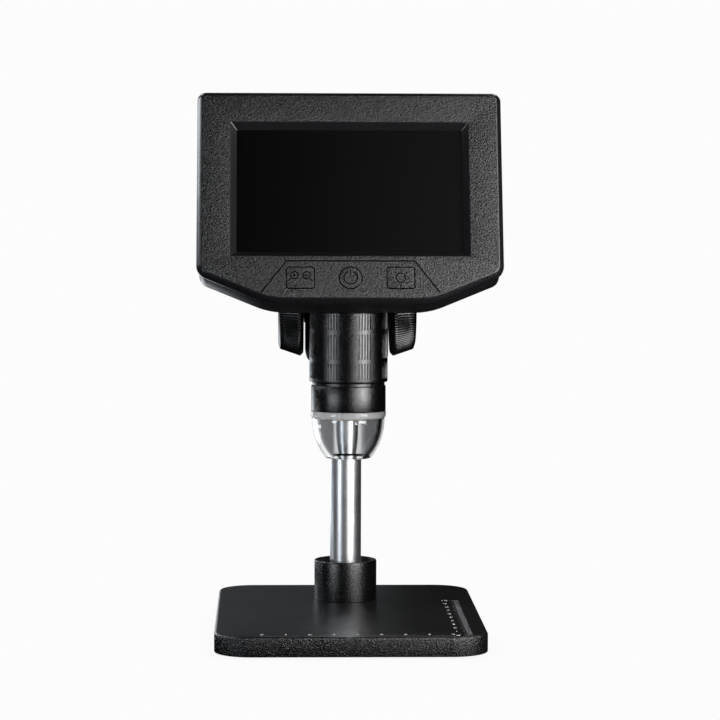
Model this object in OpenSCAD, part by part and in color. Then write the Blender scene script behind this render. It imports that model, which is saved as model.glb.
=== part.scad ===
/* [Base] */
// Width of the base
base_w = 115; // [90:1:160]
// Depth of the base
base_d = 158; // [120:1:220]
// Height of the base shell
base_h = 8.4; // [8:0.1:14]
// Corner radius of the base
base_corner_r = 16; // [8:0.5:30]
// Radius of the top edge of the base
base_edge_r = 1.2; // [0.4:0.1:2]
// Wall of the base shell
base_wall = 2.4; // [1.6:0.1:3]
// Thickness of the bottom cover
cover_t = 1.6; // [1.2:0.1:2.4]
// Thickness of the steel ballast plate
ballast_t = 2.6; // [1.5:0.1:3]
// Margin from the edge of the base to the ballast plate
ballast_margin = 19; // [14:0.5:30]
// Diameter of a rubber foot
foot_d = 11; // [8:0.5:14]
// How far a foot stands below the base
foot_h = 0.8; // [0.6:0.1:2]
// Distance from the edge of the base to a foot's centre
foot_inset = 20; // [17:0.5:30]

/* [Column] */
// Distance of the column behind the centre of the base
column_y = 33; // [20:0.5:50]
// Diameter of the column
column_d = 14; // [12:0.5:20]
// Height of the column's top above the table
column_top = 210; // [190:1:260]
// Outer diameter of the collar
collar_d = 28; // [24:0.5:36]
// Height of the collar above the base
collar_h = 18; // [14:0.5:30]
// Wall of the collar around its open cup
collar_wall = 1.3; // [1:0.1:2.5]
// Depth of the collar's cup
collar_cup = 6; // [2:0.5:10]
// Diameter of the column bolt's thread
column_bolt_d = 6; // [5:0.5:8]

/* [Rack and pinion] */
// Module of the teeth
tooth_m = 0.8; // [0.7:0.05:0.9]
// Number of teeth of the pinion
pinion_teeth = 12; // [12:1:14]
// Width of the rack
rack_w = 5; // [4:0.5:7]
// How far the tooth tips lie below the edges of the rack's slot
rack_recess = 0.1; // [0.1:0.05:0.6]
// Play between the teeth along the pitch line
backlash = 0.16; // [0.1:0.02:0.3]
// Diameter of the pinion shaft
shaft_d = 4; // [3:0.1:5]
// Carriage travel down from rest
travel_down = 40; // [20:1:55]
// Carriage travel up from rest
travel_up = 40; // [10:1:40]

/* [Carriage] */
// Width of the carriage block
carriage_w = 36.6; // [30:0.2:37]
// Depth of the carriage block
carriage_d = 40; // [36:0.5:50]
// Underside of the carriage above the table
carriage_z = 117.6; // [112:0.2:122]
// Height of the carriage block
carriage_h = 47.4; // [42:0.2:54]
// Corner radius of the carriage block
carriage_r = 4; // [2:0.5:8]
// Height of the pinion axis above the table
pinion_z = 142; // [140:0.5:146]
// Wall of a guide bush
bush_wall = 1.5; // [1:0.1:2.5]
// Length of a guide bush
bush_l = 11; // [8:0.5:14]
// Diameter of the friction pad behind the column
pad_d = 7; // [5:0.5:9]
// Thickness of the holder plate on the carriage
holder_t = 3; // [2.4:0.2:5]
// Width of the holder's arm
arm_w = 22; // [16:1:28]

/* [Focus knobs] */
// Diameter of a knob at its inner end
knob_d = 44; // [36:0.5:46]
// Diameter of a knob at its outer end
knob_outer_d = 38.2; // [30:0.2:40]
// Width of a knob
knob_w = 11.2; // [8:0.2:16]
// Gap between the bush flange and a knob
knob_gap = 0.3; // [0.2:0.05:0.6]
// Diameter of the flange of a pinion bush
flange_d = 14.4; // [13:0.2:16]
// Diameter of a knob's cap
knob_cap_d = 24; // [16:0.5:28]

/* [Head] */
// Width of the head
head_w = 131; // [124:0.5:150]
// Height of the key area below the display
key_area_h = 16.35; // [16:0.05:22]
// Margin from the display to the head's top
head_margin = 9.95; // [8:0.05:16]
// Thickness of the head
head_t = 21.8; // [16:0.2:26]
// Backward lean of the head in degrees
head_tilt = 19; // [15:0.5:22]
// Front of the face's lower edge, from the centre of the base
head_y = -45; // [-47:0.5:-42]
// Height of the face's lower edge above the table
head_z = 146.6; // [145.5:0.2:148]
// Height of the slanted lower corners
head_slant_h = 13.1; // [8:0.1:18]
// Half width of the flat lower edge
head_flat = 34.5; // [24:0.5:44]
// Radius of the head's upper corners
head_corner_r = 3.8; // [2:0.2:8]
// Radius of the corners where the sides meet the slants
head_side_r = 6; // [2:0.2:10]
// Radius where the slants meet the lower edge
head_blend_r = 34; // [10:1:50]
// Wall of the head's shells
shell_wall = 2; // [1.5:0.1:2.5]
// Depth of the front bezel
bezel_t = 4.2; // [4:0.1:6]
// Width of the chamfer around the face
chamfer_w = 1.9; // [1:0.1:3]
// Depth of the chamfer around the face
chamfer_t = 2.6; // [1.5:0.1:3.5]
// Step from the bezel's edge to the rear shell
shell_step = 1; // [0.4:0.1:2]

/* [Screen] */
// Width of the visible screen
screen_w = 97; // [88:0.5:104]
// Height of the visible screen
screen_h = 55; // [48:0.5:58]
// Slope of the screen frame, along the face
frame_slope = 2.6; // [1.5:0.1:4]
// Depth of the screen window behind the face
window_depth = 3.3; // [2:0.1:3.5]
// Width of the display module
lcd_w = 105.5; // [100:0.5:108]
// Height of the display module
lcd_h = 67.2; // [60:0.2:68]
// Thickness of the display module
lcd_t = 2.9; // [2.2:0.1:3.2]

/* [Keys] */
// Width of a side key
key_w = 11.5; // [9:0.5:14]
// Height of a side key
key_h = 9.1; // [7:0.1:10]
// Diameter of the round power key
power_d = 9.3; // [8:0.1:10]
// Distance of a side key from the middle
key_x = 21.3; // [17:0.1:24]
// Height of the keys' centres above the lower edge
key_z = 10.9; // [9:0.1:11]
// How far a key stands out of the face
key_proud = 0.4; // [0.2:0.1:1]
// Travel of a key
key_travel = 0.5; // [0.3:0.05:0.55]
// Gap around a key
key_gap = 0.25; // [0.15:0.05:0.4]
// Width of the engraved line around the keys
line_w = 0.5; // [0.3:0.05:1]

/* [Barrel] */
// Distance of the barrel axis in front of the centre of the base
barrel_y = -10; // [-12:0.2:-9]
// Outer diameter of the fixed barrel tube
tube_d = 29; // [27:0.2:30]
// Inner diameter of the fixed barrel tube
tube_bore = 23; // [20:0.2:24]
// Outer diameter of the ridged focus sleeve
sleeve_d = 34.1; // [33:0.1:35]
// Underside of the focus sleeve above the table
sleeve_z = 110.8; // [108:0.2:114]
// Diameter of the nose ring
nose_d = 32.5; // [31.5:0.1:33.5]
// Height of the nose ring
nose_h = 11.2; // [8:0.2:12]
// Height of the groove between sleeve and nose ring
groove_h = 1.6; // [1.2:0.1:3]
// Ridges in one group
ridge_count = 4; // [3:1:6]
// Groups of ridges around the sleeve
ridge_groups = 8; // [6:1:10]
// Height of a ridge above the sleeve's skin
ridge_t = 0.45; // [0.2:0.05:0.8]

/* [Hood] */
// Outer diameter of the hood's top band
hood_d = 32.7; // [32:0.1:34]
// Height of the hood's top band
hood_band = 2.8; // [2.4:0.1:6]
// Diameter of the dome below the band
dome_d = 31.6; // [29:0.1:32]
// Height of the whole ellipse that the dome follows
dome_h = 22.4; // [18:0.2:26]
// Height of the dome down to its mouth
dome_cut = 17.9; // [12:0.1:18.5]
// Wall of the clear hood
hood_wall = 2.2; // [1.5:0.1:2.5]

/* [Optics] */
// Number of lamps around the lens
led_count = 8; // [6:1:8]
// Diameter of the circle of lamps
led_circle_d = 17; // [15.5:0.5:18]
// Diameter of the objective lens
lens_d = 14; // [10:0.5:15]
// Length of the lens carrier
carrier_l = 12; // [9:0.5:14]
// Focus travel of the lens carrier each way
lens_travel = 3; // [1:0.5:4]

/* [Fits] */
// Radial gap of a running fit
run_gap = 0.05; // [0.03:0.01:0.08]
// Gap between fixed pieces
fit_gap = 0.1; // [0.05:0.01:0.15]
// Gap between pieces that pass each other
pass_gap = 0.3; // [0.2:0.05:0.4]

/* [Hidden] */
$fn = 96;
eps = 0.01;
far = 400;

// Base levels
base_top = foot_h + base_h;
base_ceiling = base_top - base_wall;
cover_top = foot_h + cover_t;
cover_edge = base_wall + fit_gap;
foot_seat = 0.7;
base_boss_r = 13.5;
base_boss_z = cover_top + ballast_t;
base_screw_d = 3;
base_screw_head_d = 5.4;
base_screw_head_t = 1.1;
base_screw_inset = 11.5;
base_screw_boss_r = 3.6;
washer_r = 8;
washer_t = 0.8;
bolt_head_t = base_boss_z - cover_top - washer_t - fit_gap;
bolt_head_r = 4.6;
bolt_l = 14;

// Column
column_r = column_d / 2;
collar_rim_r = 0.6;
collar_screw_d = 4;
socket_depth = 1.8;
cap_t = 3;
cap_spigot_r = 3.5;
cap_spigot_l = 8;

// Teeth
tooth_pitch = PI * tooth_m;
addendum = 0.7 * tooth_m;
dedendum = 0.875 * tooth_m;
pressure_angle = 20;
pinion_r = tooth_m * pinion_teeth / 2;
rack_tip = sqrt(pow(column_r, 2) - pow(rack_w / 2, 2)) - rack_recess;
rack_line = rack_tip - addendum;
rack_root = rack_line - dedendum;
rack_back = rack_root - 1;
rack_margin = 8;
pinion_y = column_y - rack_line - pinion_r;
pinion_w = rack_w - 2 * 0.2;
teeth_below = ceil((travel_down + rack_margin) / tooth_pitch);
teeth_above = ceil((travel_up + rack_margin) / tooth_pitch);
rack_teeth = teeth_below + teeth_above;
rack_z0 = pinion_z - teeth_below * tooth_pitch;

// Carriage
shaft_r = shaft_d / 2;
carriage_front = 22;
carriage_y0 = column_y - carriage_front;
carriage_y1 = carriage_y0 + carriage_d;
carriage_top = carriage_z + carriage_h;
bush_r = column_r + run_gap + bush_wall;
relief_r = column_r + 0.6;
gear_r = pinion_r + addendum;
gear_bore_r = gear_r + 0.25;
flange_t = 0.7;
gear_gap = 0.3;
holder_top = carriage_top + holder_t;
holder_screw_x = carriage_w / 2 - 4.5;
holder_screw_ys = [carriage_y0 + 5.5, carriage_y1 - 5.5];
m3_r = 1.5;
m3_head_r = 2.75;
m3_head_t = 1.8;
holder_screw_l = 8;
arm_screw_l = 5.8;
pad_t = 3;
pad_screw_recess = 1;

// Knobs
knob_x0 = carriage_w / 2 + flange_t + knob_gap;
knob_x1 = knob_x0 + knob_w;
knob_chamfer = 1.3;
knob_round = 0.9;
knob_cap_t = 1.2;
knob_head_t = 1.4;
knob_head_r = 2.8;
knob_web_t = 1;
shaft_end = knob_x1 - knob_cap_t - knob_head_t - knob_web_t;
knob_screw_d = 2;
knob_screw_l = 7;
press_gap = 0.02;

// Head
shell_back = head_t - shell_wall;
shell_edge = 2.6;
window_t = 1;
window_lip = 1.8;
lcd_tray_t = 0.8;
lcd_play = 0.05;
screen_z = key_area_h + lcd_tray_t + lcd_play + lcd_h / 2;
head_h = screen_z + lcd_h / 2 + lcd_play + lcd_tray_t + head_margin;
lcd_y = window_depth + window_t + fit_gap;
tray_back = lcd_y + lcd_t + lcd_tray_t;
board_t = 1.6;
board_y = tray_back + 0.7;
board_back = board_y + board_t;
board_w = 56;
board_h = 48;
board_z = screen_z - 16;
board_edge = 9;
chip_w = 14;
board_x = head_w / 2 - board_edge - board_w;
post_r = 3.2;
post_x = head_w / 2 - 7;
post_zs = [head_slant_h + 6, head_h - 7.2];
battery_x0 = post_r - post_x + 2.3;
battery_x1 = board_x - 5.5;
battery_h = 40;
battery_gap = 0.3;
battery_z = screen_z + 8;
face_wall = 2.2;
pocket_top = key_z + 6.2;
pocket_w = 2 * key_x + 25.4;
key_board_w = pocket_w - 8;
shell_screw_r = 1.25;
shell_head_r = 2.4;
shell_head_t = 1.6;

// Sockets on the right edge of the main board
usb_w = 8.9;
usb_t = 3.2;
usb_l = 7.4;
usb_z = board_z + 12;
card_w = 13;
card_t = 1.6;
card_l = 14;
card_z = board_z + 33;
mouth_l = 20;

// Keys
flange_rim = 1;
key_flange_y = face_wall + fit_gap;
key_flange_t = 0.8;
key_stem_r = 1.6;
key_board_y = 6.4;
key_board_h = 11.6;
key_board_t = 1.2;
switch_w = 6;
switch_t = 2.3;
stem_end = key_board_y - switch_t - key_travel - fit_gap;
line_depth = 0.3;
icon_w = 0.4;
icon_depth = 0.25;
panel_top_x = 27.3;
panel_top_z = 18.4;
panel_low_x = 38.4;
panel_low_z = 3.8;

// Barrel
tube_r = tube_d / 2;
bore_r = tube_bore / 2;
neck_z = head_z - 5.4;
neck_wall = 2;
neck_r = sleeve_d / 2 - 0.15;
neck_inner_r = neck_r - neck_wall;
neck_top = neck_z + 27;
neck_dome = 8;
spigot_r = tube_r - 1.6;
spigot_top = neck_z + neck_wall + 2;
sleeve_top = neck_z - pass_gap;
nose_top = sleeve_z - groove_h;
nose_z = nose_top - nose_h;
nose_spigot_r = hood_d / 2 - 2.6;
nose_spigot_end = nose_z - hood_band + 0.5;
camera_board_w = 19;
camera_board_t = 1.2;
pad_y = barrel_y + neck_r + 0.1;
arm_z0 = neck_z + 4;
arm_z1 = carriage_top + holder_t;
arm_screw_zs = [arm_z0 + 4, arm_z0 + 12];
ribbon_w = 7;
ribbon_t = 0.3;
ribbon_x = 6.5;
ribbon_drop = 4;
ribbon_rise = 18;
standoff_r = 2.4;
standoff_xs = [board_x + 16, board_x + board_w - 4];
standoff_zs = [board_z + 4, board_z + board_h - 4];
led_board_t = 1.2;
led_board_z = nose_spigot_end + 0.2;
glass_r = 5.2;
led_r = 1.25;
led_h = 1.1;
lens_mid = sleeve_z + 9;
carrier_wall = 1.2;
lens_t = 5;
pin_r = 1;
carrier_r = bore_r - run_gap;
ring_gap = 0.15;

// Points of an arc, from angle a0 to a1
function arc(centre, r, a0, a1, n) =
    [for (i = [0:n]) centre + r * [cos(a0 + (a1 - a0) * i / n), sin(a0 + (a1 - a0) * i / n)]];
function unit(v) = v / norm(v);
function turn(a, b) = b - a > 180 ? b - a - 360 : b - a < -180 ? b - a + 360 : b - a;
// Arc of radius r that rounds corner b between a and c
function corner(a, b, c, r, n) =
    let (u = unit(a - b), w = unit(c - b), half = acos(u * w) / 2,
        centre = b + unit(u + w) * r / sin(half),
        p = b + u * r / tan(half) - centre, q = b + w * r / tan(half) - centre,
        start = atan2(p.y, p.x))
    arc(centre, r, start, start + turn(start, atan2(q.y, q.x)), n);
// A polygon's points with corner i rounded by rs[i]
function rounded(ps, rs, n) =
    [for (i = [0:len(ps) - 1])
        each corner(ps[(i + len(ps) - 1) % len(ps)], ps[i], ps[(i + 1) % len(ps)], rs[i], n)];
// Plan of a rectangle with round corners
function rect_points(w, d, r) =
    rounded([[w / 2, d / 2], [-w / 2, d / 2], [-w / 2, -d / 2], [w / 2, -d / 2]], [r, r, r, r], 10);
// Outline of the head, moved inwards by inset
function head_outline(inset) =
    let (w = head_w / 2 - inset, slope = atan2(head_slant_h, head_w / 2 - head_flat),
        side_z = head_slant_h + inset * (1 - sin(slope)) / cos(slope),
        flat = head_flat - inset * tan(slope / 2),
        top_r = max(0.6, head_corner_r - inset),
        side_r = max(0.6, head_side_r - inset),
        low_r = head_blend_r - inset)
    rounded([[w, side_z], [w, head_h - inset], [-w, head_h - inset],
        [-w, side_z], [-flat, inset], [flat, inset]],
        [side_r, top_r, top_r, side_r, low_r, low_r], 8);
// Involute: half the angle of a pinion tooth at radius r
function involute(a) = tan(a) * 180 / PI - a;
function tooth_half(r) =
    90 / pinion_teeth - backlash / 4 / pinion_r * 180 / PI
    + involute(pressure_angle) - involute(acos(min(1, pinion_r * cos(pressure_angle) / r)));
function polar(r, a) = [r * cos(a), r * sin(a)];
pinion_base_r = pinion_r * cos(pressure_angle);
pinion_root_r = pinion_r - dedendum;
flank_steps = 4;
function tooth_points(mid) =
    let (rs = [for (i = [0:flank_steps]) pinion_base_r + (gear_r - pinion_base_r) * i / flank_steps])
    concat([polar(pinion_root_r, mid - tooth_half(pinion_base_r))],
        [for (r = rs) polar(r, mid - tooth_half(r))],
        [for (i = [flank_steps:-1:0]) polar(rs[i], mid + tooth_half(rs[i]))],
        [polar(pinion_root_r, mid + tooth_half(pinion_base_r))]);

// Slab whose upper edge is rounded
module slab(w, d, r, h, edge) {
    profile = concat([[0, 0], [r, 0]], arc([r - edge, h - edge], edge, 0, 90, 5), [[0, h]]);
    cx = w / 2 - r;
    cy = d / 2 - r;
    for (i = [0, 1], j = [0, 1])
        mirror([i, 0, 0]) mirror([0, j, 0]) translate([cx, cy, 0])
            rotate_extrude(angle = 90) polygon(profile);
    for (i = [0, 1])
        mirror([i, 0, 0]) translate([cx, cy, 0]) rotate([90, 0, 0])
            linear_extrude(2 * cy) polygon(profile);
    for (j = [0, 1])
        mirror([0, j, 0]) translate([-cx, cy, 0]) rotate([90, 0, 90])
            linear_extrude(2 * cx) polygon(profile);
    translate([-cx, -cy, 0]) cube([2 * cx, 2 * cy, h]);
}
module plate(w, d, r, h) {
    linear_extrude(h) polygon(rect_points(w, d, r));
}
// The head's own frame: x across the face, y into the head, z up the face
module on_head() {
    translate([0, head_y, head_z]) rotate([-head_tilt, 0, 0]) children();
}
// Slice of the head from depth y0 to y1 behind the face
module head_slice(inset, y0, y1) {
    translate([0, y1, 0]) rotate([90, 0, 0]) linear_extrude(y1 - y0) polygon(head_outline(inset));
}
// Box on the head, centred at x and z, from depth y0 to y1
module head_box(x, z, w, h, y0, y1) {
    translate([x - w / 2, y0, z - h / 2]) cube([w, y1 - y0, h]);
}
module round_box(x, z, w, h, r, y0, y1) {
    translate([x, y1, z]) rotate([90, 0, 0]) linear_extrude(y1 - y0) polygon(rect_points(w, h, r));
}
// Rod through the head, along its depth
module head_rod(x, z, r, y0, y1) {
    translate([x, y0, z]) rotate([-90, 0, 0]) cylinder(r = r, h = y1 - y0);
}
module at_barrel(z) {
    translate([0, barrel_y, z]) children();
}
module ring(ro, ri, h) {
    difference() {
        cylinder(r = ro, h = h);
        translate([0, 0, -1]) cylinder(r = ri, h = h + 2);
    }
}
module at_feet(inset) {
    for (x = [-1, 1], y = [-1, 1])
        translate([x * (base_w / 2 - inset), y * (base_d / 2 - inset), 0]) children();
}
module at_column(z) {
    translate([0, column_y, z]) children();
}
// Along X at the pinion's axis, from x0 to x1
module pinion_rod(r, x0, x1) {
    translate([x0, pinion_y, pinion_z]) rotate([0, 90, 0]) cylinder(r = r, h = x1 - x0);
}
module at_holder_screws(z) {
    for (x = [-holder_screw_x, holder_screw_x], y = holder_screw_ys) translate([x, y, z]) children();
}
module both_sides() {
    children();
    mirror([1, 0, 0]) children();
}
module at_posts() {
    for (x = [-post_x, post_x], z = post_zs) translate([x, 0, z]) children();
}

module base_shell() {
    color("#161616") difference() {
        translate([0, 0, foot_h]) slab(base_w, base_d, base_corner_r, base_h, base_edge_r);
        difference() {
            translate([0, 0, foot_h - 1])
                plate(base_w - 2 * base_wall, base_d - 2 * base_wall, base_corner_r - base_wall,
                    base_h - base_wall + 1);
            at_column(base_boss_z) cylinder(r = base_boss_r, h = base_h);
            at_feet(base_screw_inset) translate([0, 0, cover_top])
                cylinder(r = base_screw_boss_r, h = base_h);
        }
        at_column(0) cylinder(d = column_bolt_d + 2 * fit_gap, h = base_top + 1);
        at_feet(base_screw_inset) cylinder(d = base_screw_d - 0.2, h = base_ceiling);
    }
}
module ballast_plate() {
    color("#6f7275") difference() {
        translate([0, 0, cover_top])
            plate(base_w - 2 * ballast_margin, base_d - 2 * ballast_margin, 8, ballast_t);
        at_column(0) cylinder(r = base_boss_r + 1, h = base_top);
    }
}
module base_cover() {
    color("#1d1d1d") difference() {
        translate([0, 0, foot_h])
            plate(base_w - 2 * cover_edge, base_d - 2 * cover_edge, base_corner_r - cover_edge, cover_t);
        at_feet(foot_inset) translate([0, 0, foot_h - 1])
            cylinder(d = foot_d + 2 * fit_gap, h = 1 + foot_seat);
        at_feet(base_screw_inset) cylinder(d = base_screw_d + 0.4, h = base_top);
        at_feet(base_screw_inset) translate([0, 0, foot_h - 1])
            cylinder(d = base_screw_head_d + 0.4, h = 1 + base_screw_head_t);
    }
}
module rubber_feet() {
    color("#2b2b2b") at_feet(foot_inset) {
        cylinder(d1 = foot_d - 1, d2 = foot_d, h = 0.5);
        translate([0, 0, 0.5]) cylinder(d = foot_d, h = foot_h + foot_seat - 0.5);
    }
}
module base_screws() {
    color("#8a8d90") at_feet(base_screw_inset) difference() {
        union() {
            translate([0, 0, foot_h]) cylinder(d = base_screw_head_d, h = base_screw_head_t);
            translate([0, 0, foot_h]) cylinder(d = base_screw_d - 0.3, h = base_h - base_wall - 0.6);
        }
        for (a = [0, 90]) rotate(a) translate([-1.4, -0.35, foot_h - 1]) cube([2.8, 0.7, 1.7]);
    }
}
module column_collar() {
    rim = arc([collar_d / 2 - collar_rim_r, collar_h - collar_rim_r], collar_rim_r, 0, 90, 4);
    cup_r = collar_d / 2 - collar_wall;
    cup_z = collar_h - collar_cup;
    color("#181818") difference() {
        at_column(base_top) rotate_extrude()
            polygon(concat([[column_r + fit_gap, 0], [collar_d / 2, 0]], rim,
                [[cup_r, collar_h], [cup_r, cup_z], [column_r + fit_gap, cup_z]]));
        at_column(base_top + collar_screw_d) rotate([-90, 0, 0])
            cylinder(d = collar_screw_d, h = collar_d);
    }
}
module collar_screw() {
    color("#7d8083") at_column(base_top + collar_screw_d) rotate([-90, 0, 0]) difference() {
        translate([0, 0, column_r + 0.05])
            cylinder(d = collar_screw_d - 0.1, h = collar_d / 2 - column_r - 0.8);
        translate([0, 0, collar_d / 2 - 0.8 - socket_depth]) cylinder(r = 1.15, h = far, $fn = 6);
    }
}
module column() {
    color("#b9bcc0") difference() {
        at_column(base_top) cylinder(r = column_r, h = column_top - base_top);
        at_column(base_top - 1) cylinder(d = column_bolt_d, h = bolt_l + 2);
        at_column(column_top - cap_spigot_l) cylinder(r = cap_spigot_r + fit_gap, h = cap_spigot_l + 1);
        translate([-rack_w / 2, column_y - column_r - 1, rack_z0])
            cube([rack_w, column_r + 1 - rack_back, rack_teeth * tooth_pitch]);
    }
}
module column_bolt() {
    color("#6b6e71") at_column(base_boss_z - washer_t - bolt_head_t) difference() {
        union() {
            cylinder(r = bolt_head_r, h = bolt_head_t);
            cylinder(d = column_bolt_d - 2 * fit_gap,
                h = base_top - base_boss_z + washer_t + bolt_head_t + bolt_l);
        }
        translate([0, 0, -1]) cylinder(r = bolt_head_r / 2, h = 1 + bolt_head_t * 0.7, $fn = 6);
    }
}
module column_washer() {
    color("#8d9093") at_column(base_boss_z - washer_t)
        ring(washer_r, column_bolt_d / 2 + fit_gap, washer_t);
}
// Toothed strip let into the front of the column; a gap faces the pinion at rest
module rack_strip() {
    at_root = tooth_pitch / 4 - backlash / 4 + dedendum * tan(pressure_angle);
    at_tip = tooth_pitch / 4 - backlash / 4 - addendum * tan(pressure_angle);
    teeth = [for (i = [0:rack_teeth - 1]) let (z = (i + 0.5) * tooth_pitch) each [
        [rack_root, z - at_root], [rack_tip, z - at_tip],
        [rack_tip, z + at_tip], [rack_root, z + at_root]]];
    color("#9a9488") translate([-rack_w / 2, column_y, rack_z0]) mirror([0, 1, 0]) rotate([90, 0, 90])
        linear_extrude(rack_w)
            polygon(concat([[rack_back, 0], [rack_root, 0]], teeth,
                [[rack_root, rack_teeth * tooth_pitch], [rack_back, rack_teeth * tooth_pitch]]));
}
module column_cap() {
    color("#1a1a1a") {
        at_column(column_top) rotate_extrude()
            polygon(concat([[0, 0], [column_r, 0]],
                arc([column_r - 1, cap_t - 1], 1, 0, 90, 4), [[0, cap_t]]));
        at_column(column_top - cap_spigot_l + 0.5)
            cylinder(r = cap_spigot_r, h = cap_spigot_l - 0.5 + eps);
    }
}

module carriage_block() {
    front = rounded([[carriage_w / 2, carriage_z], [carriage_w / 2, carriage_top],
        [-carriage_w / 2, carriage_top], [-carriage_w / 2, carriage_z]],
        [carriage_r, 0.6, 0.6, carriage_r], 6);
    intersection() {
        translate([0, carriage_y1, 0]) rotate([90, 0, 0]) linear_extrude(carriage_d) polygon(front);
        translate([0, (carriage_y0 + carriage_y1) / 2, carriage_z - 1])
            plate(carriage_w, carriage_d, carriage_r, carriage_h + 2);
    }
}
module carriage_body() {
    color("#141414") difference() {
        carriage_block();
        at_column(carriage_z - 1) cylinder(r = relief_r, h = carriage_h + 2);
        at_column(carriage_z - 1) cylinder(r = bush_r, h = bush_l + 1);
        at_column(carriage_top - bush_l) cylinder(r = bush_r, h = bush_l + 1);
        pinion_rod(gear_bore_r, -carriage_w, carriage_w);
        at_column(pinion_z) rotate([-90, 0, 0]) cylinder(r = pad_d / 2 + fit_gap, h = carriage_d);
        at_holder_screws(carriage_top - holder_screw_l - 1) cylinder(r = m3_r, h = far);
    }
}
module guide_bushes() {
    color("#d8d3c4") for (z = [carriage_z, carriage_top - bush_l])
        at_column(z) ring(bush_r, column_r + run_gap, bush_l);
}
module pinion_bushes() {
    color("#1a1a1a") both_sides() difference() {
        union() {
            pinion_rod(gear_bore_r - eps, pinion_w / 2 + gear_gap, carriage_w / 2);
            pinion_rod(flange_d / 2, carriage_w / 2, carriage_w / 2 + flange_t);
        }
        pinion_rod(shaft_r + run_gap, 0, carriage_w);
        at_column(carriage_z) cylinder(r = relief_r, h = carriage_h);
    }
}
module friction_pad() {
    color("#e6e1d2") at_column(pinion_z) rotate([-90, 0, 0])
        translate([0, 0, column_r + run_gap]) cylinder(r = pad_d / 2, h = pad_t);
}
module tension_screw() {
    color("#6b6e71") at_column(pinion_z) rotate([-90, 0, 0]) difference() {
        translate([0, 0, column_r + run_gap + pad_t])
            cylinder(r = pad_d / 2, h = carriage_y1 - column_y - column_r - pad_t - pad_screw_recess);
        translate([0, 0, carriage_y1 - column_y - pad_screw_recess - socket_depth - 0.5])
            cylinder(r = 1.7, h = far, $fn = 6);
    }
}
module holder_arm() {
    color("#171717") difference() {
        union() {
            translate([0, (carriage_y0 + carriage_y1) / 2, carriage_top])
                plate(carriage_w, carriage_d, carriage_r, holder_t);
            translate([-arm_w / 2, pad_y, arm_z0]) cube([arm_w, carriage_y0 - pad_y, arm_z1 - arm_z0]);
            translate([-arm_w / 2, carriage_y0 - 1, carriage_top]) cube([arm_w, carriage_r + 2, holder_t]);
        }
        at_column(carriage_top - 1) cylinder(r = relief_r, h = holder_t + 2);
        at_holder_screws(carriage_top - 1) cylinder(r = m3_r + fit_gap, h = holder_t + 2);
        at_holder_screws(holder_top - m3_head_t) cylinder(r = m3_head_r + fit_gap, h = m3_head_t + 1);
        for (z = arm_screw_zs)
            translate([0, pad_y - 1, z]) rotate([-90, 0, 0]) cylinder(r = m3_r, h = arm_screw_l + 1);
    }
}
module m3_screw(l) {
    difference() {
        union() {
            cylinder(r = m3_head_r, h = m3_head_t);
            translate([0, 0, -l]) cylinder(r = m3_r - fit_gap, h = l + eps);
        }
        translate([0, 0, m3_head_t - 1.1]) cylinder(r = 1.25, h = 2, $fn = 6);
    }
}
module holder_screws() {
    color("#6b6e71") at_holder_screws(holder_top - m3_head_t) m3_screw(holder_screw_l);
}
// Screws from inside the neck into the arm
module arm_screws() {
    color("#6b6e71") for (z = arm_screw_zs)
        translate([0, barrel_y + neck_inner_r, z]) rotate([90, 0, 0]) m3_screw(arm_screw_l);
}

module pinion_shaft() {
    color("#a9acb0") difference() {
        union() {
            pinion_rod(shaft_r, -shaft_end, shaft_end);
            translate([-pinion_w / 2, pinion_y, pinion_z]) rotate([90, 0, 90]) linear_extrude(pinion_w)
                polygon([for (i = [0:pinion_teeth - 1]) each tooth_points(i * 360 / pinion_teeth)]);
        }
        both_sides() pinion_rod(knob_screw_d / 2, shaft_end - knob_screw_l, shaft_end + 1);
    }
}
// Knob on the positive X side
module knob() {
    inner_r = knob_d / 2;
    outer_r = knob_outer_d / 2;
    cap_seat = knob_x1 - knob_cap_t;
    head_seat = shaft_end + knob_web_t;
    head_r = knob_head_r + fit_gap;
    hole_r = knob_screw_d / 2 + fit_gap;
    translate([0, pinion_y, pinion_z]) rotate([0, 90, 0]) rotate_extrude() polygon([
        [shaft_r + press_gap, knob_x0], [inner_r - knob_chamfer, knob_x0],
        [inner_r, knob_x0 + knob_chamfer], [outer_r, knob_x1 - knob_round],
        [outer_r - 3 * knob_round, knob_x1], [knob_cap_d / 2, knob_x1],
        [knob_cap_d / 2, cap_seat], [head_r, cap_seat], [head_r, head_seat],
        [hole_r, head_seat], [hole_r, shaft_end], [shaft_r + press_gap, shaft_end]]);
}
module knob_right() {
    color("#151515") knob();
}
module knob_left() {
    color("#151515") mirror([1, 0, 0]) knob();
}
module knob_screws() {
    color("#6b6e71") both_sides() difference() {
        union() {
            pinion_rod(knob_head_r, shaft_end + knob_web_t, shaft_end + knob_web_t + knob_head_t);
            pinion_rod(knob_screw_d / 2 - 0.05, shaft_end - knob_screw_l + 1, shaft_end + knob_web_t + eps);
        }
        pinion_rod(1, shaft_end + knob_web_t + 0.5, shaft_end + 5);
    }
}
module knob_caps() {
    color("#1c1c1c") both_sides() pinion_rod(knob_cap_d / 2 - fit_gap, knob_x1 - knob_cap_t, knob_x1);
}

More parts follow.
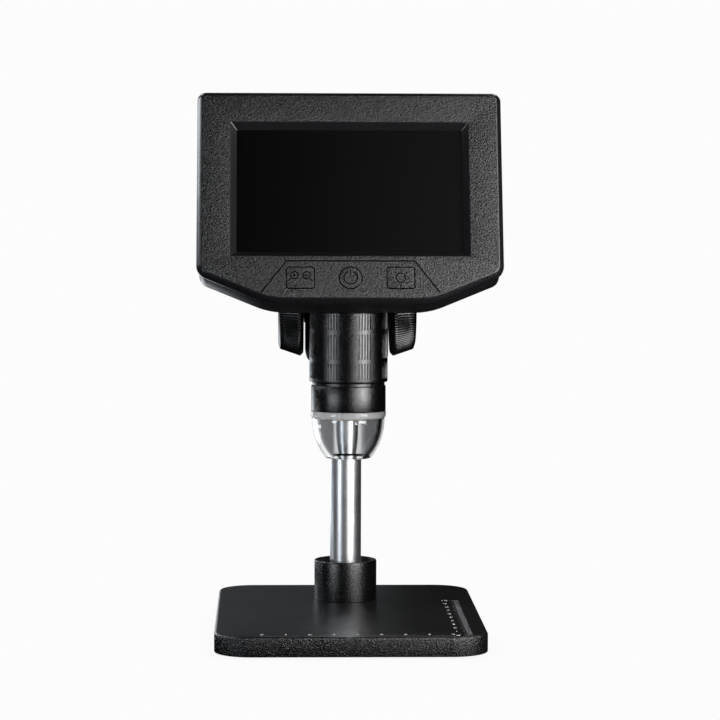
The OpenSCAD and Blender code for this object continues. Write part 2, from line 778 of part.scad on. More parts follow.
// Clears everything in front of depth y behind the face
module behind_face(y) {
    on_head() translate([-far / 2, y, -far / 2]) cube([far, far, far]);
}
module neck(r, z0, z1, dome) {
    at_barrel(z0) rotate_extrude()
        polygon(concat([[0, 0], [r, 0]], arc([r - dome, z1 - z0 - dome], dome, 0, 90, 8), [[0, z1 - z0]]));
}
module rear_shell() {
    color("#121212") difference() {
        union() {
            on_head() hull() {
                head_slice(shell_step, bezel_t, head_t - shell_edge);
                head_slice(shell_step + shell_edge, head_t - 0.1, head_t);
            }
            intersection() {
                union() {
                    neck(neck_r, neck_z, neck_top, neck_dome);
                    translate([-arm_w / 2, barrel_y, arm_z0])
                        cube([arm_w, pad_y - barrel_y, neck_top - neck_dome - arm_z0]);
                }
                behind_face(bezel_t);
            }
        }
        difference() {
            on_head() hull() {
                head_slice(shell_step + shell_wall, bezel_t - 1, shell_back - shell_edge + 1);
                head_slice(shell_step + shell_wall + shell_edge - 1, shell_back - 0.1, shell_back);
            }
            on_head() at_posts() rotate([-90, 0, 0]) cylinder(r = post_r, h = head_t);
            on_head() for (x = standoff_xs, z = standoff_zs) head_rod(x, z, standoff_r, board_back, head_t);
        }
        intersection() {
            neck(neck_inner_r, neck_z + neck_wall, neck_top - neck_wall, neck_dome);
            behind_face(bezel_t - 1);
        }
        at_barrel(neck_z - 1) cylinder(r = spigot_r + fit_gap, h = neck_wall + 2);
        on_head() at_posts() rotate([-90, 0, 0]) {
            cylinder(r = shell_screw_r + fit_gap, h = head_t + 1);
            translate([0, 0, head_t - shell_head_t]) cylinder(r = shell_head_r + fit_gap, h = 5);
        }
        for (z = arm_screw_zs) translate([0, barrel_y, z]) rotate([-90, 0, 0]) {
            cylinder(r = m3_r + fit_gap, h = 2 * neck_r);
            cylinder(r = m3_head_r + fit_gap, h = neck_inner_r);
        }
        on_head() {
            head_box(head_w / 2, usb_z, mouth_l, usb_w + 0.4, board_back - 0.2, board_back + usb_t + 0.2);
            head_box(head_w / 2, card_z, mouth_l, card_w - 1.5, board_back - 0.2,
                board_back + card_t + 0.2);
        }
    }
}
// Line engraved in the face from a to b
module face_line(a, b, w) {
    d = b - a;
    translate([a.x, -1, a.y]) rotate([0, -atan2(d.y, d.x), 0])
        translate([-w / 2, 0, -w / 2]) cube([norm(d) + w, 1 + line_depth, w]);
}
module front_bezel() {
    color("#1b1b1b") on_head() difference() {
        hull() {
            head_slice(chamfer_w, 0, 0.05);
            head_slice(0, chamfer_t, bezel_t);
        }
        hull() {
            round_box(0, screen_z, screen_w + 2 * frame_slope, screen_h + 2 * frame_slope, 1, -0.05, 0);
            round_box(0, screen_z, screen_w, screen_h, 0.5, window_depth, window_depth + 0.05);
        }
        head_box(0, screen_z, screen_w + 2 * window_lip, screen_h + 2 * window_lip,
            window_depth, bezel_t + 1);
        head_box(0, (pocket_top + 3) / 2, pocket_w, pocket_top - 3, face_wall, bezel_t + 1);
        round_box(-key_x, key_z, key_w + 2 * key_gap, key_h + 2 * key_gap, 1.2, -1, bezel_t);
        round_box(key_x, key_z, key_w + 2 * key_gap, key_h + 2 * key_gap, 1.2, -1, bezel_t);
        head_rod(0, key_z, power_d / 2 + key_gap, -1, bezel_t);
        face_line([-panel_top_x, panel_top_z], [panel_top_x, panel_top_z], line_w);
        both_sides() face_line([panel_top_x, panel_top_z], [panel_low_x, panel_low_z], line_w);
        at_posts() translate([0, chamfer_t - 1, 0]) rotate([-90, 0, 0]) cylinder(r = shell_screw_r, h = 5);
    }
}
module screen_window() {
    color("#050506") on_head() head_box(0, screen_z, screen_w + 2 * window_lip - 2 * fit_gap,
        screen_h + 2 * window_lip - 2 * fit_gap, window_depth, window_depth + window_t);
}
module lcd_panel() {
    color("#2a2d33") on_head() head_box(0, screen_z, lcd_w, lcd_h, lcd_y, lcd_y + lcd_t);
}
module lcd_frame() {
    color("#9fa3a6") on_head() difference() {
        head_box(0, screen_z, lcd_w + 2 * (lcd_tray_t + lcd_play), lcd_h + 2 * (lcd_tray_t + lcd_play),
            lcd_y, tray_back);
        head_box(0, screen_z, lcd_w + 2 * lcd_play, lcd_h + 2 * lcd_play, lcd_y - 1, lcd_y + lcd_t);
    }
}
module main_board() {
    color("#1f5a36") on_head() difference() {
        translate([board_x, board_y, board_z]) cube([board_w, board_t, board_h]);
        for (x = standoff_xs, z = standoff_zs) head_rod(x, z, 1.1, 0, head_t);
    }
}
// Chip on the main board, at parts u and v of its width and height
module chip(u, v, w, h, t) {
    head_box(board_x + u * board_w, board_z + v * board_h, w, h, board_back, board_back + t);
}
module board_chips() {
    color("#202124") on_head() {
        chip(0.39, 0.54, chip_w, chip_w, 1.4);
        chip(0.39, 0.21, 0.64 * chip_w, chip_w / 2, 1.1);
        chip(0.16, 0.58, 0.43 * chip_w, 0.64 * chip_w, 1.1);
        chip(0.68, 0.83, 0.29 * chip_w, 0.29 * chip_w, 2);
    }
}
module battery() {
    color("#c3c6c9") on_head() round_box((battery_x0 + battery_x1) / 2, battery_z,
        battery_x1 - battery_x0, battery_h, 2, tray_back + battery_gap, shell_back - battery_gap);
}
// Sheet-metal socket at height z, reaching past the board's edge by over
module socket(z, l, w, t, over, wall, depth) {
    mouth = board_x + board_w + over;
    difference() {
        head_box(mouth - l / 2, z, l, w, board_back, board_back + t);
        head_box(mouth, z, 2 * depth, w - 2 * wall, board_back + wall, board_back + t - wall);
    }
}
module usb_socket() {
    color("#b4b7ba") on_head() socket(usb_z, usb_l, usb_w, usb_t, 5.4, 0.35, 5);
}
module card_socket() {
    color("#b4b7ba") on_head() socket(card_z, card_l, card_w, card_t, 4.4, 0.3, 12);
}
module key_board() {
    color("#1f5a36") on_head()
        head_box(0, key_z - 0.6, key_board_w, key_board_h, key_board_y, key_board_y + key_board_t);
}
module key_switches() {
    color("#3a3b3e") on_head() for (x = [-key_x, 0, key_x])
        head_box(x, key_z, switch_w, switch_w, key_board_y - switch_t, key_board_y);
}
module shell_screws() {
    color("#6b6e71") on_head() at_posts() rotate([-90, 0, 0]) difference() {
        union() {
            translate([0, 0, head_t - shell_head_t]) cylinder(r = shell_head_r, h = shell_head_t - 0.3);
            translate([0, 0, chamfer_t])
                cylinder(r = shell_screw_r - 0.05, h = head_t - shell_head_t - chamfer_t + eps);
        }
        for (a = [0, 90]) rotate(a) translate([-1.3, -0.3, head_t - 1.1]) cube([2.6, 0.6, 2]);
    }
}

// Circle and stroke engraved in a key's front
module icon_ring(x, z, r) {
    translate([x, -key_proud - eps, z]) rotate([-90, 0, 0])
        ring(r + icon_w / 2, r - icon_w / 2, icon_depth + eps);
}
module icon_bar(x, z, l, a) {
    translate([x, -key_proud - 1, z]) rotate([0, -a, 0])
        translate([-l / 2, 0, -icon_w / 2]) cube([l, 1 + icon_depth, icon_w]);
}
// Cap, flange and stem of a side key
module side_key(x) {
    round_box(x, key_z, key_w, key_h, 1, -key_proud, key_flange_y + eps);
    round_box(x, key_z, key_w + 2 * flange_rim, key_h + 2 * flange_rim, 1,
        key_flange_y, key_flange_y + key_flange_t);
    head_rod(x, key_z, key_stem_r, key_flange_y, stem_end);
}
module magnifier(x, z, side) {
    icon_ring(x, z, 1.5);
    icon_bar(x + side * 2, z - 2, 1.7, -side * 45);
    icon_bar(x, z, 1.4, 0);
}
module zoom_key() {
    color("#1b1b1b") on_head() difference() {
        side_key(-key_x);
        magnifier(-key_x - 2.6, key_z + 1, -1);
        icon_bar(-key_x - 2.6, key_z + 1, 1.4, 90);
        magnifier(-key_x + 2.6, key_z + 1, 1);
    }
}
module power_key() {
    color("#1b1b1b") on_head() difference() {
        union() {
            head_rod(0, key_z, power_d / 2, -key_proud, key_flange_y + eps);
            head_rod(0, key_z, power_d / 2 + flange_rim, key_flange_y, key_flange_y + key_flange_t);
            head_rod(0, key_z, key_stem_r, key_flange_y, stem_end);
        }
        difference() {
            icon_ring(0, key_z, 2.8);
            head_box(0, key_z + 3, 2, 3, -2, 1);
        }
        icon_bar(0, key_z + 2.4, 2.4, 90);
    }
}
module light_key() {
    color("#1b1b1b") on_head() difference() {
        side_key(key_x);
        icon_ring(key_x, key_z, 2);
        for (a = [0:45:315]) icon_bar(key_x + 3.2 * cos(a), key_z + 3.2 * sin(a), 0.9, a);
    }
}

module barrel_tube() {
    color("#101010") difference() {
        at_barrel(0) rotate_extrude() polygon([
            [bore_r, nose_spigot_end], [nose_spigot_r, nose_spigot_end], [nose_spigot_r, nose_z],
            [tube_r, nose_z], [tube_r, neck_z], [spigot_r, neck_z], [spigot_r, spigot_top],
            [bore_r, spigot_top]]);
        translate([-pin_r - 0.1, barrel_y - tube_r - 1, lens_mid - lens_travel - pin_r - 0.2])
            cube([2 * pin_r + 0.2, tube_r, 2 * lens_travel + 2 * pin_r + 0.4]);
    }
}
module ring_nut() {
    color("#8d9093") at_barrel(neck_z + neck_wall)
        ring(neck_inner_r - 0.4, spigot_r + 0.05, spigot_top - neck_z - neck_wall);
}
module camera_board() {
    color("#1f5a36") translate([-camera_board_w / 2, barrel_y - camera_board_w / 2, spigot_top])
        cube([camera_board_w, camera_board_w, camera_board_t]);
}
module image_sensor() {
    color("#26282c") at_barrel(spigot_top - 1) translate([-4, -4, 0]) cube([8, 8, 1]);
}
// Flat cable from the camera board up behind the main board
module camera_ribbon() {
    depth = board_back + 1;
    low_z = board_z - ribbon_drop;
    high_z = board_z + ribbon_rise;
    knee = [head_y + depth * cos(head_tilt) + low_z * sin(head_tilt),
        head_z - depth * sin(head_tilt) + low_z * cos(head_tilt)];
    high = knee + (high_z - low_z) * [sin(head_tilt), cos(head_tilt)];
    bend_z = neck_top - neck_wall - neck_dome + 1.5;
    back_y = head_y + shell_back / cos(head_tilt) + (bend_z - head_z) * tan(head_tilt);
    wall_y = barrel_y - sqrt(pow(neck_inner_r - ribbon_t, 2) - pow(ribbon_x + ribbon_w / 2, 2));
    bend = [(back_y + wall_y) / 2, bend_z];
    low = [barrel_y - 0.4 * camera_board_w, spigot_top + camera_board_t];
    side = [ribbon_t, 0];
    color("#b8863a") translate([ribbon_x - ribbon_w / 2, 0, 0]) rotate([90, 0, 90]) linear_extrude(ribbon_w)
        polygon([low, bend, knee, high, high + side, knee + side, bend + side, low + side]);
}
// Grooves between the ridges of one group
module ridge_group(z0, z1) {
    step = 4.6;
    for (i = [0:ridge_count]) rotate((i - ridge_count / 2) * step)
        translate([sleeve_d / 2 - ridge_t, -0.38, z0]) cube([2, 0.76, z1 - z0]);
}
module focus_sleeve() {
    rows = [[1.6, 8.5], [10.4, 21.1], [23, sleeve_top - sleeve_z + 1]];
    color("#171717") difference() {
        at_barrel(sleeve_z) ring(sleeve_d / 2, tube_r + run_gap, sleeve_top - sleeve_z);
        for (k = [0:ridge_groups - 1], row = rows)
            at_barrel(sleeve_z) rotate((k + 0.5) * 360 / ridge_groups) ridge_group(row[0], row[1]);
    }
}
module retaining_ring() {
    color("#0e0e0e") at_barrel(nose_top) ring(sleeve_d / 2 - 1.3, tube_r + 0.02, groove_h - ring_gap);
}
module nose_ring() {
    color("#171717") at_barrel(nose_z) rotate_extrude() polygon([
        [tube_r + 0.02, 0], [nose_d / 2 - 0.3, 0], [nose_d / 2, 0.3], [nose_d / 2, nose_h - 0.3],
        [nose_d / 2 - 0.3, nose_h], [tube_r + 0.02, nose_h]]);
}
module lens_carrier() {
    color("#2c2c2c") {
        at_barrel(lens_mid - carrier_l / 2) rotate_extrude() polygon([
            [lens_d / 2 - carrier_wall, 0], [carrier_r, 0], [carrier_r, carrier_l],
            [lens_d / 2 + 0.05, carrier_l], [lens_d / 2 + 0.05, 2], [lens_d / 2 - carrier_wall, 2]]);
        at_barrel(lens_mid) rotate([90, 0, 0]) translate([0, 0, carrier_r - 1])
            cylinder(r = pin_r, h = tube_r - 0.1 - carrier_r + 1);
    }
}
module objective_lens() {
    bulge = lens_d;
    color("#cfe0e6") at_barrel(lens_mid - carrier_l / 2 + 2) intersection() {
        cylinder(d = lens_d, h = lens_t + 2);
        translate([0, 0, lens_t - bulge]) sphere(r = bulge);
    }
}
module dust_glass() {
    color("#cfe0e6") at_barrel(led_board_z) cylinder(r = glass_r - fit_gap, h = led_board_t);
}
module led_board() {
    color("#e8e6df") at_barrel(led_board_z) ring(bore_r - fit_gap, glass_r, led_board_t);
}
module leds() {
    color("#e8b84a") at_barrel(led_board_z - led_h) for (i = [0:led_count - 1])
        rotate((i + 0.5) * 360 / led_count)
            translate([led_circle_d / 2, 0, 0]) cylinder(r = led_r, h = led_h);
}
// Radius at height z of an ellipse with half axes a and b
function ellipse_r(a, b, z) = a * sqrt(1 - pow(z / b, 2));
module hood() {
    wall_r = dome_d / 2 - hood_wall;
    wall_h = dome_h - hood_wall;
    steps = 14;
    zs = [for (i = [0:steps]) -dome_cut * i / steps];
    outer = [for (z = zs) [ellipse_r(dome_d / 2, dome_h, z), z]];
    inner = [for (i = [steps:-1:0]) [ellipse_r(wall_r, wall_h, zs[i]), zs[i]]];
    color([0.85, 0.9, 0.92, 0.4]) at_barrel(nose_z - hood_band) rotate_extrude() polygon(concat(
        [[nose_spigot_r + fit_gap, hood_band], [hood_d / 2, hood_band],
            [hood_d / 2, 0.4], [hood_d / 2 - 0.4, 0]],
        outer, inner, [[nose_spigot_r + fit_gap, 0.3]]));
}

base_shell();
ballast_plate();
base_cover();
rubber_feet();
base_screws();
column_collar();
column();
column_bolt();
column_washer();
collar_screw();
rack_strip();
column_cap();
carriage_body();
guide_bushes();
pinion_bushes();
friction_pad();
tension_screw();
holder_arm();
holder_screws();
arm_screws();
pinion_shaft();
knob_left();
knob_right();
knob_screws();
knob_caps();
rear_shell();
front_bezel();
screen_window();
lcd_panel();
lcd_frame();
main_board();
board_chips();
battery();
usb_socket();
card_socket();
key_board();
key_switches();
shell_screws();
zoom_key();
power_key();
light_key();
barrel_tube();
ring_nut();
camera_board();
image_sensor();
camera_ribbon();
focus_sleeve();
retaining_ring();
nose_ring();
lens_carrier();
objective_lens();
dust_glass();
led_board();
leds();
hood();
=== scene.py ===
import math

import bmesh
import bpy
from mathutils import Matrix, Vector
from mathutils.geometry import tessellate_polygon


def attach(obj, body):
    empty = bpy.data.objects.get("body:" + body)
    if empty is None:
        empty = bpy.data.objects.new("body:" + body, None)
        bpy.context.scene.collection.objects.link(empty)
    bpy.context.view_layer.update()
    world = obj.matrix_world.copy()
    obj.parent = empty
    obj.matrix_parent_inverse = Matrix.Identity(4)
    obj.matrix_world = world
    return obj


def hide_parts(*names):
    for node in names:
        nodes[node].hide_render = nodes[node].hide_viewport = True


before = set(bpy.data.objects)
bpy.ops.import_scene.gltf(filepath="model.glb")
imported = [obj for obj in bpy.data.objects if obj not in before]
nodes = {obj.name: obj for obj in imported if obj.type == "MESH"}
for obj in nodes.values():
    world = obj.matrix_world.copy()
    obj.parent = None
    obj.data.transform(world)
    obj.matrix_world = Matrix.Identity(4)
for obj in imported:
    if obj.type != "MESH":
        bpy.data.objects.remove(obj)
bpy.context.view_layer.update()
scene = bpy.context.scene
mm = 0.001  # the pieces are sized in mm, and the scene is in metres
print("frame loaded:", len(nodes), "nodes")


# One output of a node. Arithmetic on it adds Math nodes to its tree.
class Sock:
    def __init__(self, tree, out):
        self.tree = tree
        self.out = out

    def maths(self, operation, *values):
        return self.tree.add("ShaderNodeMath", {"operation": operation}, dict(enumerate(values)))

    def __add__(self, other):
        return self.maths("ADD", self, other)

    __radd__ = __add__

    def __sub__(self, other):
        return self.maths("SUBTRACT", self, other)

    def __rsub__(self, other):
        return self.maths("SUBTRACT", other, self)

    def __mul__(self, other):
        return self.maths("MULTIPLY", self, other)

    __rmul__ = __mul__

    def __truediv__(self, other):
        return self.maths("DIVIDE", self, other)

    def __rtruediv__(self, other):
        return self.maths("DIVIDE", other, self)

    def limit(self, low, high):
        return self.maths("MINIMUM", self.maths("MAXIMUM", self, low), high)

    def pick(self, name):
        return Sock(self.tree, self.out.node.outputs[name])


# A node tree that nodes are added to
class Tree:
    def __init__(self, nodeTree):
        self.nodeTree = nodeTree

    # A node of any type: its settings first, then the values or links of its sockets
    def add(self, kind, settings=None, values=None, out=0):
        node = self.nodeTree.nodes.new(kind)
        for key, value in (settings or {}).items():
            if key == "stops":
                for i, (place, colour) in enumerate(value):
                    stops = node.color_ramp.elements
                    stop = stops[i] if i < len(stops) else stops.new(place)
                    stop.position = place
                    stop.color = colour
            else:
                setattr(node, key, value)
        for key, value in (values or {}).items():
            self.join(value, node.inputs[key])
        return Sock(self, node.outputs[out]) if len(node.outputs) else node

    def join(self, value, socket):
        if isinstance(value, Sock):
            self.nodeTree.links.new(value.out, socket)
        else:
            socket.default_value = value

    def mixColour(self, factor, a, b):
        return self.add("ShaderNodeMix", {"data_type": "RGBA"}, {"Factor": factor, 6: a, 7: b}, 2)

    def noise(self, place, size, detail=2.0, rough=0.5):
        return self.add("ShaderNodeTexNoise", {}, {
            "Vector": place, "Scale": 1 / size, "Detail": detail, "Roughness": rough})

    def bump(self, height, strength, distance):
        return self.add("ShaderNodeBump", {}, {
            "Strength": strength, "Distance": distance, "Height": height})

    # X of a vector, from which its Y and Z can be picked
    def split(self, vector):
        return self.add("ShaderNodeSeparateXYZ", {}, {"Vector": vector})


# Finishes. A new material, its tree, the sockets of its shader and the Object coordinates
def newMaterial(name, constants):
    mat = bpy.data.materials.new(name)
    mat.use_nodes = True
    shader = mat.node_tree.nodes["Principled BSDF"].inputs
    for key, value in constants.items():
        shader[key].default_value = value
    tree = Tree(mat.node_tree)
    return mat, tree, shader, tree.add("ShaderNodeTexCoord", out="Object")


def tone(colour, factor):
    return [min(1, c * factor) for c in colour] + [1]


# Moulded plastic: a grain of bumps, cloudy gloss and tone, and colour painted lighter on the bumps
# and darker in the hollows, as painted glints and painted shade in the grain
def plastic(name, colour, roughness, grainSize, grainDepth, specular=0.5, strength=0.6,
            glint=0.2, spread=0.2, paintedGlintAndShade=1.25):
    mat, tree, shader, place = newMaterial(name, {"Specular IOR Level": specular, "IOR": 1.5})
    cloud = tree.noise(place, 0.03, 3.0)
    grain = tree.noise(place, grainSize, 2.0, 0.55)
    fine = tree.noise(place, grainSize * 0.35, 1.0)
    height = grain * 0.75 + fine * 0.25
    # colour: tone at random from the cloud, plus painted glints on the grain's bumps and painted
    # shade in its hollows
    share = (cloud - 0.5) * 1.25 + (height - 0.5) * paintedGlintAndShade + 0.5
    paint = tree.mixColour(share.limit(0, 1), tone(colour, 1 - spread), tone(colour, 1 + spread))
    tree.join(paint, shader["Base Color"])
    rough = roughness + (cloud - 0.5) * 0.12 + (0.5 - height) * glint
    tree.join(rough.limit(0.05, 1.0), shader["Roughness"])
    tree.join(tree.bump(height, strength, grainDepth), shader["Normal"])
    return mat


# Bare metal: fine lines drawn along one direction, and cloudy handling marks
def metal(name, colour, roughness, stretch, lineSize):
    mat, tree, shader, place = newMaterial(name, {"Metallic": 1.0})
    drawn = tree.add("ShaderNodeMapping", {}, {"Vector": place, "Scale": stretch})
    lines = tree.noise(drawn, lineSize, 3.0, 0.6)
    cloud = tree.noise(place, 0.02, 3.0)
    paint = tree.mixColour(lines * 0.6 + cloud * 0.4, tone(colour, 0.82), tone(colour, 1.1))
    tree.join(paint, shader["Base Color"])
    rough = roughness + (lines - 0.5) * 0.18 + (cloud - 0.5) * 0.1
    tree.join(rough.limit(0.04, 1.0), shader["Roughness"])
    tree.join(tree.bump(lines, 0.35, 0.00002), shader["Normal"])
    return mat


# Clear plastic or glass, with faint wipe marks in its gloss. It may have another colour in
# the middle, which gives way to its own one between 0.8 and 1 times half from the centre.
def clear(name, colour, ior, roughness, smear, middle=None, half=1.0):
    mat, tree, shader, place = newMaterial(name, {
        "Base Color": colour, "Transmission Weight": 1.0, "IOR": ior})
    if middle:
        across = tree.split(place)
        far = across.maths("ABSOLUTE", across) / half
        tint = tree.mixColour((far * 5 - 4).limit(0, 1), middle, colour)
        tree.join(tint, shader["Base Color"])
    wipe = tree.noise(place, 0.006, 4.0, 0.6)
    tree.join(roughness + wipe * smear, shader["Roughness"])
    return mat


# Dark display glass, its colour painted lighter towards one side: a painted reflection of the lamps
# on the right
def displayGlass(name, look):
    mat, tree, shader, place = newMaterial(name, {
        "Specular IOR Level": look["specular"], "IOR": 1.5})
    share = (tree.split(place) - look["from"]) / (look["to"] - look["from"])
    paint = tree.mixColour(share.limit(0, 1), look["dark"], look["light"])
    tree.join(paint, shader["Base Color"])
    smear = tree.noise(place, 0.012, 4.0, 0.6)
    tree.join(look["roughness"] + smear * 0.05, shader["Roughness"])
    return mat


# Board with copper tracks under its lacquer
def circuit(name, trackSize, lacquer, copper):
    mat, tree, shader, place = newMaterial(name, {})
    cells = tree.add("ShaderNodeTexVoronoi", {"feature": "DISTANCE_TO_EDGE"}, {
        "Vector": place, "Scale": 1 / trackSize})
    track = (1 - cells * 14).limit(0, 1)
    tree.join(tree.mixColour(track, lacquer, copper), shader["Base Color"])
    tree.join(0.3 + track * 0.15, shader["Roughness"])
    tree.join(tree.bump(track, 0.5, 0.00003), shader["Normal"])
    return mat


# Resin over a lamp's chip, its colour deeper in places
def lampLens(name, deep, pale):
    mat, tree, shader, place = newMaterial(name, {"IOR": 1.5, "Roughness": 0.2})
    paint = tree.mixColour(tree.noise(place, 0.0006), deep, pale)
    tree.join(paint, shader["Base Color"])
    return mat


finishes = {
    # plastics: colour, roughness, grain size and grain depth in metres, then what is special
    "grained": plastic("grainedPlastic", (0.0066, 0.0066, 0.0074), 0.25, 0.00066, 0.00055,
                       specular=0.8, strength=1.0, glint=0.35, spread=0.95, paintedGlintAndShade=6),
    "frame": plastic("framePlastic", (0.007, 0.007, 0.0082), 0.30, 0.0006, 0.00003,
                     specular=0.9, strength=0.4),
    # rear: a lighter copy of the black plastic for the parts seen from behind, painted light so
    # they do not go black
    "rear": plastic("rearLitPlastic", (0.011, 0.011, 0.013), 0.34, 0.0006, 0.0001,
                    specular=0.9, strength=0.7, paintedGlintAndShade=3),
    "shell": plastic("shellPlastic", (0.0010, 0.0010, 0.0012), 0.25, 0.0006, 0.0002,
                     specular=0.95, strength=0.7, glint=0.3, spread=0.9, paintedGlintAndShade=5),
    "barrel": plastic("barrelPlastic", (0.0008, 0.0008, 0.0010), 0.21, 0.0006, 0.0002,
                      specular=1.0, strength=0.8, glint=0.3, spread=0.95, paintedGlintAndShade=6),
    "knob": plastic("knobPlastic", (0.0008, 0.0008, 0.0009), 0.31, 0.0005, 0.00004,
                    specular=0.68, strength=0.5),
    "base": plastic("basePlastic", (0.0008, 0.0008, 0.0010), 0.34, 0.0007, 0.00003,
                    specular=0.9, strength=0.5),
    "baseEdge": plastic("baseEdgePlastic", (0.0030, 0.0030, 0.0034), 0.27, 0.0006, 0.0005,
                        specular=0.9, strength=0.9, glint=0.3, spread=0.95, paintedGlintAndShade=6),
    # recess: darker and duller than the face, a painted shade in the grooves, key gaps and key
    # sides
    "recess": plastic("recessShadePlastic", (0.0004, 0.0004, 0.0005), 0.7, 0.0004, 0.00002,
                      specular=0.08, strength=0.3),
    "mark": plastic("markPaint", (0.20, 0.20, 0.21), 0.6, 0.0004, 0.00001, specular=0.1),
    "rubber": plastic("footRubber", (0.03, 0.03, 0.03), 0.8, 0.0005, 0.00008),
    "bush": plastic("bushPlastic", (0.60, 0.57, 0.50), 0.45, 0.0008, 0.00003, spread=0.06),
    "chip": plastic("chipPlastic", (0.03, 0.03, 0.035), 0.55, 0.0003, 0.00003),
    "foil": plastic("batteryFoil", (0.55, 0.56, 0.58), 0.3, 0.002, 0.0001, spread=0.05),
    "cable": plastic("flatCable", (0.45, 0.23, 0.06), 0.35, 0.001, 0.00002),
    "reflector": plastic("reflectorFoil", (0.62, 0.62, 0.62), 0.25, 0.0006, 0.00001,
                         specular=0.8, strength=0.2),
    # metals: colour, roughness, stretch of the lines, line size
    "column": metal("columnMetal", (0.80, 0.81, 0.83), 0.36, (1, 1, 40), 0.02),
    "steel": metal("plainSteel", (0.46, 0.47, 0.48), 0.32, (1, 1, 6), 0.002),
    "brass": metal("machinedBrass", (0.60, 0.45, 0.22), 0.30, (1, 1, 10), 0.003),
    # clear ones: colour, refraction, roughness, smear
    "hood": clear("clearHood", (0.97, 0.985, 0.99, 1), 1.49, 0.015, 0.03),
    "hoodInner": clear("hoodInner", (0.13, 0.13, 0.135, 1), 1.49, 0.02, 0.05,
                       middle=(0.7, 0.7, 0.7, 1), half=0.0068),
    "lens": clear("lensGlass", (0.93, 0.97, 0.98, 1), 1.52, 0.005, 0.01),
    # screen: dark glass whose colour is painted lighter along X, a painted reflection of the lamps
    "screen": displayGlass("screenGlass", {
        "from": -0.042, "to": 0.048, "dark": (0.0030, 0.0030, 0.0030, 1),
        "light": (0.0055, 0.0055, 0.0056, 1), "roughness": 0.10, "specular": 0.1}),
    "board": circuit("circuitBoard", 0.004, (0.012, 0.10, 0.04, 1), (0.03, 0.20, 0.08, 1)),
    "whiteBoard": circuit("whiteBoard", 0.003, (0.72, 0.71, 0.66, 1), (0.62, 0.55, 0.30, 1)),
    "lamp": lampLens("lampLens", (0.80, 0.42, 0.05, 1), (0.95, 0.80, 0.35, 1)),
}
print("finishes made:", len(finishes))


# Mesh tools. A Builder collects loops of points, in mm, and the faces between them
class Builder:
    def __init__(self):
        self.verts = []
        self.faces = []
        self.marks = []

    def loop(self, points):
        start = len(self.verts)
        self.verts += [Vector(p) for p in points]
        return list(range(start, len(self.verts)))

    def face(self, ring, mark=0):
        self.faces.append(tuple(ring))
        self.marks.append(mark)

    def bridge(self, a, b, mark=0):
        for i in range(len(a)):
            j = (i + 1) % len(a)
            self.face((a[i], a[j], b[j], b[i]), mark)

    # Bridges a list of loops in turn and gives back the first and the last
    def strip(self, loops, mark=0):
        rings = [self.loop(points) for points in loops]
        for a, b in zip(rings, rings[1:]):
            self.bridge(a, b, mark)
        return rings[0], rings[-1]

    # Flat face with holes
    def fill(self, rings, mark=0):
        flat = [i for ring in rings for i in ring]
        for corner in tessellate_polygon([[self.verts[i] for i in ring] for ring in rings]):
            self.face([flat[i] for i in corner], mark)

    # The object: its faces' marks count through the named finishes
    def make(self, name, looks, matrix=Matrix.Identity(4), sharp=30):
        mesh = bpy.data.meshes.new(name)
        mesh.from_pydata([tuple(v) for v in self.verts], [], self.faces)
        mesh.transform(matrix @ Matrix.Scale(mm, 4))
        for look in looks:
            mesh.materials.append(finishes[look])
        for polygon, mark in zip(mesh.polygons, self.marks):
            polygon.material_index = mark
        return finishMesh(name, mesh, sharp)


def link(name, data):
    obj = bpy.data.objects.new(name, data)
    scene.collection.objects.link(obj)
    return obj


def shade(mesh, sharp):
    mesh.shade_smooth()
    mesh.set_sharp_from_angle(angle=math.radians(sharp))


# Merges doubles, turns the faces outwards, and puts the mesh in the scene
def finishMesh(name, mesh, sharp=30):
    bm = bmesh.new()
    bm.from_mesh(mesh)
    bmesh.ops.remove_doubles(bm, verts=bm.verts, dist=1e-7)
    bmesh.ops.recalc_face_normals(bm, faces=bm.faces)
    bm.to_mesh(mesh)
    bm.free()
    shade(mesh, sharp)
    return link(name, mesh)


# The mesh of an object with its modifiers applied
def evaluated(obj):
    graph = bpy.context.evaluated_depsgraph_get()
    return bpy.data.meshes.new_from_object(obj.evaluated_get(graph))


def arc(cx, cy, r, a0, a1, n):
    steps = [math.radians(a0 + (a1 - a0) * i / n) for i in range(n + 1)]
    return [(cx + r * math.cos(a), cy + r * math.sin(a)) for a in steps]


def circle(cx, cy, r, n):
    return arc(cx, cy, r, 0, 360 * (n - 1) / n, n - 1)


# Polygon with corner i rounded by radii[i]
def roundedLoop(points, radii, n):
    result = []
    for i, (b, r) in enumerate(zip(points, radii)):
        b = Vector(b)
        u = (Vector(points[i - 1]) - b).normalized()
        w = (Vector(points[(i + 1) % len(points)]) - b).normalized()
        half = math.acos(max(-1, min(1, u.dot(w)))) / 2
        centre = b + (u + w).normalized() * r / math.sin(half)
        p = b + u * r / math.tan(half) - centre
        q = b + w * r / math.tan(half) - centre
        start = math.atan2(p.y, p.x)
        turn = math.remainder(math.atan2(q.y, q.x) - start, 2 * math.pi)
        for k in range(n + 1):
            a = start + turn * k / n
            result.append((centre.x + r * math.cos(a), centre.y + r * math.sin(a)))
    return result


def roundRect(cx, cy, w, h, r, n=8):
    corners = [(w / 2, h / 2), (-w / 2, h / 2), (-w / 2, -h / 2), (w / 2, -h / 2)]
    return [(cx + x, cy + y) for x, y in roundedLoop(corners, [r] * 4, n)]


# Cross with arms of length a and half width b
def crossOutline(cx, cy, a, b):
    return [(cx + x, cy + y) for x, y in [
        (a, -b), (a, b), (b, b), (b, a), (-b, a), (-b, b), (-a, b), (-a, -b), (-b, -b),
        (-b, -a), (b, -a), (b, -b)]]


def flat(points, z):
    return [(x, y, z) for x, y in points]


